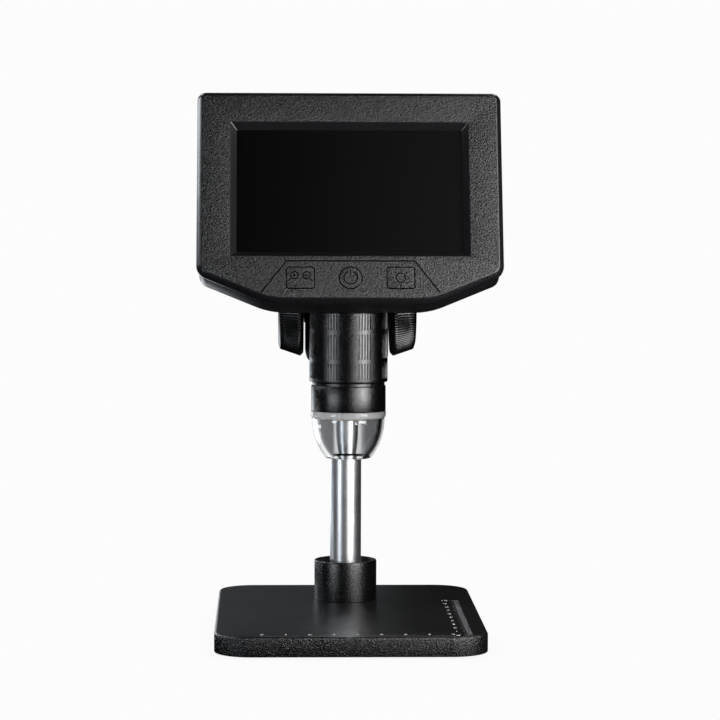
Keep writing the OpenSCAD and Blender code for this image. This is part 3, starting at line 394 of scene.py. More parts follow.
# Solid of revolution about the local Z axis from a closed profile of (radius, height)
def lathe(name, profile, looks, matrix, steps, sharp=30):
    build = Builder()
    rings = [build.loop([(0, 0, h)] if r < 1e-6 else flat(circle(0, 0, r, steps), h))
             for r, h in profile]
    for a, b in zip(rings, rings[1:] + rings[:1]):
        if len(a) == len(b) == 1:
            continue
        if len(a) == 1 or len(b) == 1:
            tip, ring = (a, b) if len(a) == 1 else (b, a)
            for i in range(steps):
                build.face((ring[i], ring[(i + 1) % steps], tip[0]))
        else:
            build.bridge(a, b)
    return build.make(name, looks, matrix, sharp)


# Closed solid through a list of loops, with flat ends
def solid(name, loops, looks, matrix):
    build = Builder()
    for end in build.strip(loops):
        build.fill([end])
    return build.make(name, looks, matrix)


def cut(obj, tool, operation="DIFFERENCE"):
    mod = obj.modifiers.new("cut", "BOOLEAN")
    mod.object = tool
    mod.operation = operation
    mod.solver = "EXACT"
    mesh = evaluated(obj)
    obj.modifiers.clear()
    obj.data = mesh
    shade(mesh, 30)
    bpy.data.objects.remove(tool)


def boxTool(low, high, matrix=Matrix.Identity(4)):
    build = Builder()
    (x0, y0, z0), (x1, y1, z1) = low, high
    for end in build.strip([flat([(x0, y0), (x1, y0), (x1, y1), (x0, y1)], z) for z in (z0, z1)]):
        build.face(end)
    return build.make("tool", [], matrix)


# Round hole along the local Y axis, from -front to back
def holeTool(r, front, back, matrix, steps):
    turned = matrix @ Matrix.Rotation(-math.pi / 2, 4, "X")
    return lathe("tool", [(0, -front), (r, -front), (r, back), (0, back)], [], turned, steps)


# A CAD node's own shape with its edges of more than 35 degrees rounded
def eased(node, width, look):
    mesh = nodes[node].data.copy()
    mesh.materials.clear()
    mesh.materials.append(finishes[look])
    bm = bmesh.new()
    bm.from_mesh(mesh)
    bmesh.ops.remove_doubles(bm, verts=bm.verts, dist=1e-6)
    bmesh.ops.dissolve_limit(bm, angle_limit=math.radians(1), verts=bm.verts, edges=bm.edges)
    sharp = [e for e in bm.edges
             if len(e.link_faces) == 2 and e.calc_face_angle() > math.radians(35)]
    bmesh.ops.bevel(bm, geom=sharp, offset=width * mm, segments=2, profile=0.5,
                    affect="EDGES", clamp_overlap=True)
    bmesh.ops.triangulate(bm, faces=[f for f in bm.faces if len(f.verts) > 4])
    bm.to_mesh(mesh)
    bm.free()
    shade(mesh, 20)  # keeps flat faces flat beside their rounded edges
    return link(node + "Dressed", mesh)


def settle(obj, body, slot, *replaced):
    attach(obj, body)
    if replaced:
        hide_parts(*replaced)


# Geometry node trees
def newTree(name, inputs):
    group = bpy.data.node_groups.new(name, "GeometryNodeTree")
    face = group.interface
    face.new_socket("Geometry", in_out="INPUT", socket_type="NodeSocketGeometry")
    face.new_socket("Geometry", in_out="OUTPUT", socket_type="NodeSocketGeometry")
    for label, kind in inputs.items():
        face.new_socket(label, in_out="INPUT", socket_type="NodeSocket" + kind)
    tree = Tree(group)
    return group, tree, tree.add("NodeGroupInput")


def closeTree(tree, geometry, material):
    whole = tree.add("GeometryNodeRealizeInstances", {}, {"Geometry": geometry})
    painted = tree.add("GeometryNodeSetMaterial", {}, {"Geometry": whole, "Material": material})
    tree.add("NodeGroupOutput", {}, {"Geometry": painted})


# Runs a tree over a mesh and keeps the plain result
def grow(name, mesh, group, values, matrix=Matrix.Identity(4), sharp=30):
    obj = link(name, mesh)
    mod = obj.modifiers.new("grow", "NODES")
    mod.node_group = group
    ids = {s.name: s.identifier for s in group.interface.items_tree if s.in_out == "INPUT"}
    for label, value in values.items():
        mod[ids[label]] = value
    result = evaluated(obj)
    bpy.data.objects.remove(obj)
    result.transform(matrix)
    return finishMesh(name, result, sharp)


# Pushes grooves into a ring about Z, in groups, where the ring's "groove" attribute is 1
def groovedRingTree():
    group, tree, given = newTree("groovedRing", {
        "Groups": "Int", "Grooves": "Int", "Step": "Float", "Width": "Float",
        "Depth": "Float", "Material": "Material"})
    spot = tree.add("GeometryNodeInputPosition")
    x = tree.split(spot)
    y = x.pick("Y")
    radius = x.maths("SQRT", x * x + y * y)
    angle = x.maths("ARCTAN2", y, x)
    sector = 2 * math.pi / given.pick("Groups")
    inSector = angle - sector * x.maths("ROUND", angle / sector)
    reach = (given.pick("Grooves") - 1) / 2
    # nearest groove of the group, counted from its middle
    near = x.maths("ROUND", inSector / given.pick("Step") + reach) - reach
    near = near.limit(0 - reach, reach)
    away = x.maths("ABSOLUTE", inSector - near * given.pick("Step")) * radius
    # a groove's walls take up the outer 1 / 2.2 of its half width, and its floor is flat
    dip = ((1 - away / (given.pick("Width") / 2)) * 2.2).limit(0, 1)
    flag = tree.add("GeometryNodeInputNamedAttribute", {"data_type": "FLOAT"}, {"Name": "groove"})
    shrink = 1 - dip * flag * given.pick("Depth") / radius
    moved = tree.add("ShaderNodeCombineXYZ", {}, {
        "X": x * shrink, "Y": y * shrink, "Z": x.pick("Z")})
    shaped = tree.add("GeometryNodeSetPosition", {}, {
        "Geometry": given.pick("Geometry"), "Position": moved})
    closeTree(tree, shaped, given.pick("Material"))
    return group


# Marks along a line, the fifth and tenth ones longer
def rulerTree():
    group, tree, given = newTree("ruler", {
        "Count": "Int", "Start": "Vector", "Pitch": "Vector", "Width": "Float",
        "Length": "Float", "Thickness": "Float", "Turn": "Vector", "Material": "Material"})
    line = tree.add("GeometryNodeMeshLine", {"mode": "OFFSET"}, {
        "Count": given.pick("Count"), "Start Location": given.pick("Start"),
        "Offset": given.pick("Pitch")})
    index = tree.add("GeometryNodeInputIndex")
    fifth, tenth = [1 - index.maths("MINIMUM", index.maths("MODULO", index, n), 1) for n in (5, 10)]
    size = tree.add("ShaderNodeCombineXYZ", {}, {
        "X": given.pick("Width"), "Y": given.pick("Length"), "Z": given.pick("Thickness")})
    bar = tree.add("GeometryNodeMeshCube", {}, {"Size": size})
    # each mark starts on the line and grows to one side
    half = tree.add("ShaderNodeCombineXYZ", {}, {"Y": given.pick("Length") / 2})
    bar = tree.add("GeometryNodeSetPosition", {}, {"Geometry": bar, "Offset": half})
    stretch = tree.add("ShaderNodeCombineXYZ", {}, {
        "X": 1.0, "Y": 1 + fifth * 0.4 + tenth * 0.4, "Z": 1.0})
    marks = tree.add("GeometryNodeInstanceOnPoints", {}, {
        "Points": line, "Instance": bar, "Rotation": given.pick("Turn"), "Scale": stretch})
    closeTree(tree, marks, given.pick("Material"))
    return group


# One part repeated on every point of the mesh
def copiesTree():
    group, tree, given = newTree("copies", {
        "Part": "Object", "Turn": "Vector", "Material": "Material"})
    part = tree.add("GeometryNodeObjectInfo", {}, {"Object": given.pick("Part")}, out="Geometry")
    copies = tree.add("GeometryNodeInstanceOnPoints", {}, {
        "Points": given.pick("Geometry"), "Instance": part, "Rotation": given.pick("Turn")})
    closeTree(tree, copies, given.pick("Material"))
    return group


groovedRing = groovedRingTree()
ruler = rulerTree()
copies = copiesTree()


def pointMesh(points):
    mesh = bpy.data.meshes.new("points")
    mesh.from_pydata([tuple(Vector(p) * mm) for p in points], [], [])
    return mesh


def repeat(name, part, points, turn, look, matrix=Matrix.Identity(4)):
    obj = grow(name, pointMesh(points), copies, {
        "Part": part, "Turn": turn, "Material": finishes[look]}, matrix)
    bpy.data.objects.remove(part)
    return obj


# Ring about Z with grooves: rows are (radius, height, grooved or not) of a closed section
def grooveRing(name, rows, sizes, angles, look, matrix):
    verts, faces, flags = [], [], []
    for r, h, flag in rows:
        for a in angles:
            verts.append((r * mm * math.cos(a), r * mm * math.sin(a), h * mm))
            flags.append(float(flag))
    n = len(angles)
    for j in range(len(rows)):
        k = (j + 1) % len(rows)
        for i in range(n):
            m = (i + 1) % n
            faces.append((j * n + i, j * n + m, k * n + m, k * n + i))
    mesh = bpy.data.meshes.new(name)
    mesh.from_pydata(verts, [], faces)
    mesh.attributes.new("groove", "FLOAT", "POINT").data.foreach_set("value", flags)
    return grow(name, mesh, groovedRing, {
        "Groups": sizes["groups"], "Grooves": sizes["grooves"],
        "Step": math.radians(sizes["step"]), "Width": sizes["width"] * mm,
        "Depth": sizes["depth"] * mm, "Material": finishes[look]}, matrix, 50)


def at(x, y, z):
    return Matrix.Translation((x * mm, y * mm, z * mm))


# Base
base = {
    "w": 115, "d": 158, "z0": 0.8, "z1": 9.2, "r": 16, "edge": 1.2, "wall": 2.4, "inside": 6.8,
    "columnY": 33, "boreR": 3.1, "boreFloor": 7.0,
}


def baseLevel(inset, z):
    w, d, r = base["w"] - 2 * inset, base["d"] - 2 * inset, base["r"] - inset
    return flat(roundRect(0, 0, w, d, r, 20), z)


def makeBase():
    build = Builder()
    z0, z1, e = base["z0"], base["z1"], base["edge"]
    rows = [(base["wall"], base["inside"]), (base["wall"], z0), (0.4, z0), (0.12, z0 + 0.12),
            (0, z0 + 0.4), (0, z1 - e)]
    rows += [(e - x, z) for x, z in arc(0, z1 - e, e, 11.25, 90, 7)]
    side = build.strip([baseLevel(i, z) for i, z in rows[:-3]], 1)
    build.face(side[0], 1)
    top = build.strip([baseLevel(i, z) for i, z in rows[-4:]])
    bore = build.strip([flat(circle(0, base["columnY"], base["boreR"], 32), z)
                        for z in (z1, base["boreFloor"])])
    build.fill([top[1], bore[0]])
    build.face(bore[1])
    obj = build.make("basePlate", ["base", "baseEdge"])
    settle(obj, "stand", "satin_plastic", "base_shell")


# Ruler marks every millimetre, with a number at every centimetre
scale = {
    "front": {"x": -37.5, "y": -77.2, "marks": 81, "numberX": 0, "numberY": 5.6},
    "side": {"x": 50.5, "y": -74, "marks": 101, "numberX": -6.2, "numberY": 0},
    "thick": 0.06, "width": 0.22, "length": 2.2, "digit": 3.4, "lift": 0.012,
}


def makeScale():
    z = base["z1"] + scale["lift"]
    marks, numbers = [], []
    for name, along, turn in [("front", (1, 0, 0), 0), ("side", (0, 1, 0), math.pi / 2)]:
        k = scale[name]
        start = Vector((k["x"], k["y"], z))
        marks.append(grow(name + "Marks", bpy.data.meshes.new("empty"), ruler, {
            "Count": k["marks"], "Start": tuple(start * mm), "Pitch": tuple(Vector(along) * mm),
            "Width": scale["width"] * mm, "Length": scale["length"] * mm,
            "Thickness": scale["thick"] * mm, "Turn": (0, 0, turn), "Material": finishes["mark"]}))
        for i in range(k["marks"] // 10 + 1):
            place = start + Vector(along) * 10 * i + Vector((k["numberX"], k["numberY"], 0))
            numbers.append(digit(str(i), place))
    settle(joinAll("rulerMarks", marks + numbers), "stand", "satin_plastic")


def digit(text, place):
    curve = bpy.data.curves.new("digit" + text, "FONT")
    curve.body = text
    curve.size = scale["digit"] * mm
    curve.extrude = scale["thick"] * mm / 2
    curve.align_x = "CENTER"
    curve.align_y = "CENTER"
    obj = link("digit", curve)
    mesh = evaluated(obj)
    bpy.data.objects.remove(obj)
    mesh.transform(at(*place))
    mesh.materials.clear()
    mesh.materials.append(finishes["mark"])
    return finishMesh("digit", mesh)


def joinAll(name, objs):
    bm = bmesh.new()
    for obj in objs:
        bm.from_mesh(obj.data)
    mesh = bpy.data.meshes.new(name)
    for mat in objs[0].data.materials:
        mesh.materials.append(mat)
    bm.to_mesh(mesh)
    bm.free()
    for obj in objs:
        bpy.data.objects.remove(obj)
    return finishMesh(name, mesh)


makeBase()
makeScale()
print("base made")

# Column, with a slot for the rack, its plug and its collar
column = {
    "r": 7, "z1": 210, "slotW": 5, "slotBack": 4.178, "slotZ0": 91.734, "slotZ1": 192.268,
    "boltR": 3.0, "plugR": 3.6, "plugDeep": 8,
}
columnPlug = {"r": 7, "h": 3, "round": 1, "flatR": 3, "stemR": 3.5, "stem": 7.5}


def makeColumn():
    k = column
    y, r, z0, z1, plugZ = base["columnY"], k["r"], base["z1"], k["z1"], k["z1"] - k["plugDeep"]
    obj = lathe("columnRod", [
        (k["boltR"] + 0.05, z0 + 0.3), (r - 0.3, z0), (r, z0 + 0.3), (r, z1 - 0.4),
        (r - 0.12, z1 - 0.12), (r - 0.4, z1), (k["plugR"], z1), (k["plugR"], plugZ),
        (k["boltR"], plugZ - 0.3)], ["column"], at(0, y, 0), 160)
    cut(obj, boxTool((-k["slotW"] / 2, y - r - 1, k["slotZ0"]),
                     (k["slotW"] / 2, y - k["slotBack"], k["slotZ1"])))
    settle(obj, "stand", "column_metal", "column")


def makePlug():
    k = columnPlug
    r, h, e = k["r"], k["h"], k["round"]
    profile = [(0, -k["stem"]), (k["stemR"], -k["stem"]), (k["stemR"], 0), (r - 0.1, 0), (r, 0.1)]
    profile += arc(r - e, h - e, e, 0, 90, 6) + [(k["flatR"], h), (0, h)]
    place = at(0, base["columnY"], column["z1"])
    obj = lathe("columnPlug", profile, ["shell"], place, 96)
    settle(obj, "stand", "satin_plastic", "column_cap")


collar = {
    "r": 14, "h": 18, "wall": 1.3, "cup": 6, "rim": 0.6, "bore": 7.1,
    "screwR": 2, "screwY": 7.5, "screwZ": 4, "screwDeep": 10,
}


def makeCollar():
    k = collar
    r, h, rim, inner, bore = k["r"], k["h"], k["rim"], k["r"] - k["wall"], k["bore"]
    floor = h - k["cup"]
    profile = [(bore, 0), (r - 0.4, 0), (r - 0.1, 0.1), (r, 0.4), (r, h - rim)]
    profile += arc(r - rim, h - rim, rim, 15, 90, 5)
    profile += [(inner + 0.2, h), (inner + 0.05, h - 0.06), (inner, h - 0.25),
                (inner, floor + 0.6), (inner - 0.2, floor + 0.18), (inner - 0.6, floor),
                (bore + 0.2, floor), (bore, floor - 0.2)]
    foot = at(0, base["columnY"], base["z1"])
    obj = lathe("collarCup", profile, ["shell"], foot, 144)
    cut(obj, holeTool(k["screwR"], 0, k["screwDeep"], foot @ at(0, k["screwY"], k["screwZ"]), 32))
    settle(obj, "stand", "satin_plastic", "column_collar")


makeColumn()
makeCollar()
makePlug()
print("column made")

# Carriage, base cover and bushes: CAD shapes that are kept, with their edges rounded
for node, width, look, slot, body in [
    ("carriage_body", 0.5, "rear", "satin_plastic", "carriage"),
    ("holder_arm", 0.4, "rear", "satin_plastic", "carriage"),
    ("base_cover", 0.2, "shell", "satin_plastic", "stand"),
    ("guide_bushes", 0.15, "bush", "bush_plastic", "carriage"),
    ("pinion_bushes", 0.1, "shell", "satin_plastic", "carriage"),
]:
    settle(eased(node, width, look), body, slot, node)

# Knobs: ribbed rims with a cover in the middle, on the pinion's axis
knob = {
    "y": 22.3217, "z": 142, "x0": 19.3, "w": 11.2, "r0": 22, "r1": 19.1, "cap": 12, "capT": 1.2,
    "chamfer": 1.3, "shaftR": 2.05,
    "groups": 108, "grooves": 1, "step": 1, "width": 0.95, "depth": 0.42,
}


def knobPlace(side, x):
    return at(side * x, knob["y"], knob["z"]) @ Matrix.Rotation(side * math.pi / 2, 4, "Y")


def makeKnobs():
    k = knob
    w, r0, r1, cap, capT, chamfer = k["w"], k["r0"], k["r1"], k["cap"], k["capT"], k["chamfer"]
    low, high = chamfer + 0.25, w - 1.15  # the ribs' stretch
    rows = [(k["shaftR"], 0.15, 0), (k["shaftR"] + 0.15, 0, 0), (r0 - chamfer - 0.2, 0, 0),
            (r0 - chamfer, 0.1, 0), (r0 - 0.12, chamfer - 0.1, 0), (r0, chamfer + 0.08, 0)]
    rows += [(r0 + (r1 - r0) * i / 6, low + (high - low) * i / 6, 1) for i in range(7)]
    rows += [(r1 - 0.15, w - 0.9, 0), (r1 - 0.6, w - 0.62, 0), (r1 - 2.4, w - 0.08, 0),
             (r1 - 2.9, w, 0), (cap + 0.15, w, 0), (cap, w - 0.12, 0), (cap, w - capT, 0),
             (2.9, w - capT, 0), (k["shaftR"], w - 3.4, 0)]
    points = k["groups"] * 6
    angles = [2 * math.pi * i / points for i in range(points)]
    for name, side, node in [("knobRight", 1, "knob_right"), ("knobLeft", -1, "knob_left")]:
        obj = grooveRing(name, rows, k, angles, "knob", knobPlace(side, k["x0"]))
        settle(obj, "pinion", "knob_plastic", node)
    cover = [(0, 0), (cap - 0.1, 0), (cap - 0.1, capT - 0.25), (cap - 0.18, capT - 0.08),
             (cap - 0.4, capT), (cap - 2.2, capT), (cap - 2.5, capT - 0.1),
             (cap - 2.8, capT - 0.12), (0, capT - 0.12)]
    covers = [lathe("cap", cover, ["knob"], knobPlace(side, k["x0"] + w - capT), 96)
              for side in (1, -1)]
    settle(joinAll("knobCovers", covers), "pinion", "knob_plastic", "knob_caps")


makeKnobs()
print("knobs made")

# Barrel: ridged sleeve, groove ring and nose ring
barrel = {
    "y": -10, "sleeveR": 17.05, "sleeveZ0": 110.8, "sleeveZ1": 140.9, "tubeR": 14.55,
    "rows": [(1.6, 8.5), (10.4, 21.1), (23.0, 31.0)],
    "groups": 8, "grooves": 5, "step": 4.6, "width": 0.85, "depth": 0.5,
    "noseR": 16.25, "noseZ0": 98.0, "noseZ1": 109.2, "ringR": 15.75, "ringH": 1.45,
}


def makeSleeve():
    b = barrel
    r, h = b["sleeveR"], b["sleeveZ1"] - b["sleeveZ0"]
    rows = [(b["tubeR"] + 0.25, 0, 0), (r - 0.35, 0, 0), (r - 0.1, 0.1, 0), (r, 0.35, 0)]
    for z0, z1 in b["rows"]:
        if z0 > rows[-1][1] + 0.05:
            rows += [(r, z0, 0), (r, z0 + 0.3, 1)]
        if z1 < h:
            rows += [(r, z1 - 0.3, 1), (r, z1, 0)]
    rows += [(r, h - 0.2, 1), (r, h, 1), (b["tubeR"] + 0.25, h, 0), (b["tubeR"], h - 0.2, 0),
             (b["tubeR"], 0.2, 0)]
    # points of one group: at both lips and the floor of each groove, and a few beside them
    half = math.degrees(b["width"] / 2 / r)
    local = []
    for k in range(b["grooves"]):
        mid = (k - (b["grooves"] - 1) / 2) * b["step"]
        local += [mid + half * t for t in (-1, -0.75, -0.5, -0.2, 0.2, 0.5, 0.75, 1)]
    last, edge = local[-1], 180 / b["groups"]
    beside = [last + (edge - last) * t for t in (0.25, 0.5, 0.75)]
    local += [-a for a in beside] + beside + [edge]
    angles = [math.radians(a + 2 * edge * g) for g in range(b["groups"]) for a in sorted(local)]
    place = at(0, b["y"], b["sleeveZ0"]) @ Matrix.Rotation(math.pi / b["groups"], 4, "Z")
    obj = grooveRing("focusRing", rows, b, angles, "barrel", place)
    settle(obj, "focus_ring", "grained_plastic", "focus_sleeve")


def makeBarrelRings():
    b = barrel
    r, h, inner = b["noseR"], b["noseZ1"] - b["noseZ0"], b["tubeR"]
    profile = [(inner, 0.1), (inner + 0.1, 0), (r - 0.45, 0), (r - 0.13, 0.13), (r, 0.45),
               (r, h - 0.5), (r - 0.15, h - 0.15), (r - 0.5, h), (inner + 0.1, h), (inner, h - 0.1)]
    obj = lathe("noseRing", profile, ["barrel"], at(0, b["y"], b["noseZ0"]), 160)
    settle(obj, "carriage", "grained_plastic", "nose_ring")
    r, h = b["ringR"], b["ringH"]
    profile = [(inner, 0), (r - 0.2, 0), (r, 0.2), (r, h - 0.2), (r - 0.2, h), (inner, h)]
    obj = lathe("grooveRing", profile, ["shell"], at(0, b["y"], b["noseZ1"]), 160)
    settle(obj, "carriage", "satin_plastic", "retaining_ring")


# Clear hood: its band, a dome cut off at the mouth, and the socket inside
hood = {
    "z": 98.0, "bandR": 16.35, "band": 2.8, "domeR": 15.8, "domeH": 22.4, "cut": 17.9,
    "wall": 2.2, "socketR": 13.85,
}


def makeHood():
    k = hood
    steps = 26
    mouth, top, socketR, bandR, domeR = -k["cut"], k["band"], k["socketR"], k["bandR"], k["domeR"]
    outer, inner = [
        [((domeR - t) * math.sqrt(1 - (z / (k["domeH"] - t)) ** 2), z)
         for z in [mouth * i / steps for i in range(steps + 1)]] for t in (0, k["wall"])]
    lip = [(outer[-1][0] - 0.35, mouth), (inner[-1][0] + 0.35, mouth)]
    for side in (outer, inner):
        side[-1] = (side[-2][0] * 0.35 + side[-1][0] * 0.65, mouth + 0.25)
    profile = [(socketR, top - 0.15), (socketR + 0.15, top), (bandR - 0.3, top),
               (bandR - 0.08, top - 0.08), (bandR, top - 0.3), (bandR, 0.7), (bandR - 0.1, 0.42),
               (bandR - 0.35, 0.3), (domeR + 0.3, 0.25), (domeR + 0.06, 0.12)]
    profile += outer + lip + inner[::-1] + [(socketR - 0.4, 0.12), (socketR, 0.4)]
    domeZ = k["z"] - top
    obj = lathe("clearHood", profile, ["hood", "hoodInner", "reflector"],
                at(0, barrel["y"], domeZ), 160, 60)
    # the faces that look inwards: tinted in the dome, foil in the socket
    axis = Vector((0, barrel["y"] * mm, 0))
    for polygon in obj.data.polygons:
        away = (polygon.center - axis) * Vector((1, 1, 0))
        if polygon.normal.dot(away) < 0:
            polygon.material_index = 1 if polygon.center.z < domeZ * mm else 2
    settle(obj, "carriage", "clear_plastic", "hood")


# Lamps around the lens, their domes downwards
lamps = {"count": 8, "r": 8.5, "z": 95.9, "size": 1.25, "h": 1.1, "foot": 0.35}


def makeLamps():
    k = lamps
    size, foot, dome = k["size"], k["foot"], k["h"] - k["foot"]
    profile = [(0, 0), (size, 0)]
    profile += [(size * x, -foot - dome * y) for x, y in arc(0, 0, 1, 0, 75, 5)] + [(0, -k["h"])]
    part = lathe("lamp", profile, ["lamp"], Matrix.Identity(4), 24)
    half = 180 / k["count"]
    points = flat(arc(0, barrel["y"], k["r"], half, 360 - half, k["count"] - 1), k["z"])
    obj = repeat("lampBeads", part, points, (0, 0, 0), "lamp")
    settle(obj, "carriage", "lamp", "leds")


makeSleeve()
makeBarrelRings()
makeHood()
makeLamps()
print("barrel made")

# Head: outline, lean, depths, screen opening and screw posts
head = {
    "w": 131, "h": 95.2, "slantH": 13.1, "flat": 34.5, "cornerR": 3.8, "sideR": 6, "blendR": 34,
    "tilt": 19, "y": -45, "z": 146.6, "depth": 21.8, "bezel": 4.2, "wall": 2,
    "screenZ": 50.8, "screenW": 97, "screenH": 55, "slope": 2.6, "lip": 1.8,
    "postX": 58.5, "postZ": (19.1, 88), "sinkR": 2.5, "sink": 1.6,
}
headMatrix = at(0, head["y"], head["z"]) @ Matrix.Rotation(-math.radians(head["tilt"]), 4, "X")
postPlaces = [(x, z) for x in (-head["postX"], head["postX"]) for z in head["postZ"]]


# Outline of the head moved inwards
def headOutline(inset):
    k = head
    half = k["w"] / 2 - inset
    slope = math.atan2(k["slantH"], k["w"] / 2 - k["flat"])
    sideZ = k["slantH"] + inset * (1 - math.sin(slope)) / math.cos(slope)
    low = k["flat"] - inset * math.tan(slope / 2)
    top = k["h"] - inset
    points = [(half, sideZ), (half, top), (-half, top), (-half, sideZ), (-low, inset), (low, inset)]
    topR = max(0.6, k["cornerR"] - inset)
    sideR = max(0.6, k["sideR"] - inset)
    lowR = k["blendR"] - inset
    return roundedLoop(points, [sideR, topR, topR, sideR, lowR, lowR], 14)


# Loops and strips on the head: x and z of an outline, at a depth behind the head's front
def headLevel(points, depth):
    return [(x, depth, z) for x, z in points]


def headStrip(build, outline, rows, mark=0):
    return build.strip([headLevel(outline(inset), depth) for inset, depth in rows], mark)


# Groove along a closed outline: walls and floor. Gives back the ring at the surface.
def groove(build, outline, surface, depth):
    top, low = headStrip(build, lambda inset: shrink(outline, inset),
                         [(0, surface), (0.07, surface + depth)], recessShadeMark)
    build.fill([low], recessShadeMark)
    return top


# Moves every side of a closed outline inwards
def shrink(points, amount):
    area = sum(a[0] * b[1] - b[0] * a[1] for a, b in zip(points, points[1:] + points[:1]))
    sign = 1 if area > 0 else -1
    result = []
    for i, b in enumerate(points):
        a, c = Vector(points[i - 1]), Vector(points[(i + 1) % len(points)])
        b = Vector(b)
        u, w = (b - a).normalized(), (c - b).normalized()
        na, nc = Vector((-u.y, u.x)) * sign, Vector((-w.y, w.x)) * sign
        mid = (na + nc).normalized()
        step = amount / max(0.5, mid.dot(na))
        result.append((b.x + mid.x * step, b.y + mid.y * step))
    return result


# Closed outline of a stroke of some width along an open line
def stroke(points, width):
    left, right = [], []
    for i, p in enumerate(points):
        p = Vector(p)
        u = (p - Vector(points[i - 1])).normalized() if i else None
        w = (Vector(points[i + 1]) - p).normalized() if i < len(points) - 1 else None
        normals = [Vector((-d.y, d.x)) for d in (u, w) if d]
        mid = sum(normals, Vector((0, 0))).normalized()
        step = mid * width / 2 / max(0.3, mid.dot(normals[0]))
        left.append(tuple(p + step))
        right.append(tuple(p - step))
    return left + right[::-1]


# Keys, their holes, and the engraved line around them
keyRow = {
    "z": 10.9, "x": 21.3, "w": 11.5, "h": 9.1, "r": 1.0, "powerR": 4.65, "gap": 0.25,
    "holeR": 1.2, "proud": 0.4, "flange": 1.0, "flangeD": 2.3, "flangeT": 0.8, "stemR": 1.6,
    "stemEnd": 3.5, "faceWall": 2.2, "pocketW": 68, "pocketH": 14.1, "pocketZ": 10.05,
    "panel": [(-38.0, 4.3), (-27.3, 18.4), (27.3, 18.4), (38.0, 4.3)],
    "panelLine": 0.55, "panelDeep": 0.5,
}
# Signs engraved in the keys, each about its key's centre
signs = {
    "line": 0.45, "deep": 0.35,
    "lensX": 2.6, "lensR": 1.55, "lensSign": 1.5, "handleOut": 2.05, "handle": 1.7,
    "powerR": 2.85, "powerOpen": 22, "powerBar": 2.4, "powerBarZ": 2.5,
    "sunR": 2.0, "rays": 8, "rayR": 3.2, "ray": 0.9,
}
# the third finish paints shade into the head's grooves and key gaps
faceFinishes = ["grained", "frame", "recess"]
frameMark, recessShadeMark = 1, 2  # places in that list


# Outline of the key about x, or of its hole, grown all round
def keyOutline(x, grown, cornerR):
    k = keyRow
    if x == 0:
        return circle(0, k["z"], k["powerR"] + grown, 64)
    return roundRect(x, k["z"], k["w"] + 2 * grown, k["h"] + 2 * grown, cornerR)


def makeBezel():
    build = Builder()
    k = keyRow
    # the chamfered rim: inset, depth
    outer = headStrip(build, headOutline, [
        (2.25, 0), (2.02, 0.025), (1.83, 0.13), (0.10, 2.5), (0.015, 2.7), (0, 2.95),
        (0, 3.9), (0.07, 4.1), (0.28, head["bezel"])], frameMark)
    w, h, z = head["screenW"], head["screenH"], head["screenZ"]
    slope, lip = 2 * head["slope"], 2 * head["lip"]
    # rows of the sunk frame: growth, corner radius, depth
    window = [(slope + 0.5, 1.25, 0), (slope + 0.06, 1.0, 0.05), (slope - 0.3, 0.9, 0.24),
              (0.3, 0.5, 3.1), (0.06, 0.5, 3.24), (0, 0.5, 3.29), (lip, 0.5, 3.3),
              (lip, 0.5, head["bezel"])]
    screen = build.strip([headLevel(roundRect(0, z, w + g, h + g, r), d) for g, r, d in window],
                         frameMark)
    holes, backs = [], []
    for x in (-k["x"], k["x"], 0):
        ring = headStrip(build, lambda g: keyOutline(x, k["gap"] + g, k["holeR"] + g),
                         [(0.15, 0), (0.08, 0.1), (0, 0.25), (0, k["faceWall"])], recessShadeMark)
        holes.append(ring[0])
        backs.append(ring[1])
    holes.append(groove(build, stroke(k["panel"], k["panelLine"]), 0, k["panelDeep"]))
    build.fill([outer[0], screen[0]] + holes)
    pocket = headStrip(build, lambda g: roundRect(0, k["pocketZ"], k["pocketW"], k["pocketH"], 0.5),
                       [(0, k["faceWall"]), (0, head["bezel"])], frameMark)
    build.fill([pocket[0]] + backs, frameMark)
    build.fill([outer[1], screen[1], pocket[1]], frameMark)
    obj = build.make("frontBezel", faceFinishes, headMatrix)
    settle(obj, "carriage", "grained_plastic", "front_bezel")


# Ring engraved around a centre; its middle stays and may hold grooves of its own
def ringGroove(build, cx, cz, r, surface, inside=()):
    half, deep = signs["line"] / 2, signs["deep"]
    outer, inner = [
        headStrip(build, lambda inset: circle(cx, cz, r + side * (half - inset), 40),
                  [(0, surface), (0.06, surface + deep)], recessShadeMark) for side in (1, -1)]
    build.bridge(outer[1], inner[1], recessShadeMark)
    middle = [groove(build, outline, surface, deep) for outline in inside]
    build.fill([inner[0]] + middle)
    return outer[0]


def bar(x, z, length, angle):
    a = math.radians(angle)
    dx, dz = math.cos(a) * length / 2, math.sin(a) * length / 2
    return stroke([(x - dx, z - dz), (x + dx, z + dz)], signs["line"])


# Two magnifiers, with a plus and a minus
def drawZoom(build, front):
    k = signs
    rings = []
    for side in (-1, 1):
        x, z = side * k["lensX"] - keyRow["x"], keyRow["z"] + 1
        sign = bar(x, z, k["lensSign"], 0)
        if side < 0:
            sign = crossOutline(x, z, k["lensSign"] / 2, k["line"] / 2)
        rings.append(ringGroove(build, x, z, k["lensR"], front, [sign]))
        handle = bar(x + side * k["handleOut"], z - k["handleOut"], k["handle"], -side * 45)
        rings.append(groove(build, handle, front, k["deep"]))
    return rings


# Open ring with a bar in its gap
def drawPower(build, front):
    k, z = signs, keyRow["z"]
    half, start, end = k["line"] / 2, 90 + k["powerOpen"], 450 - k["powerOpen"]
    outline = arc(0, z, k["powerR"] + half, start, end, 44)
    outline += arc(0, z, k["powerR"] - half, end, start, 44)
    return [groove(build, shape, front, k["deep"])
            for shape in (outline, bar(0, z + k["powerBarZ"], k["powerBar"], 90))]


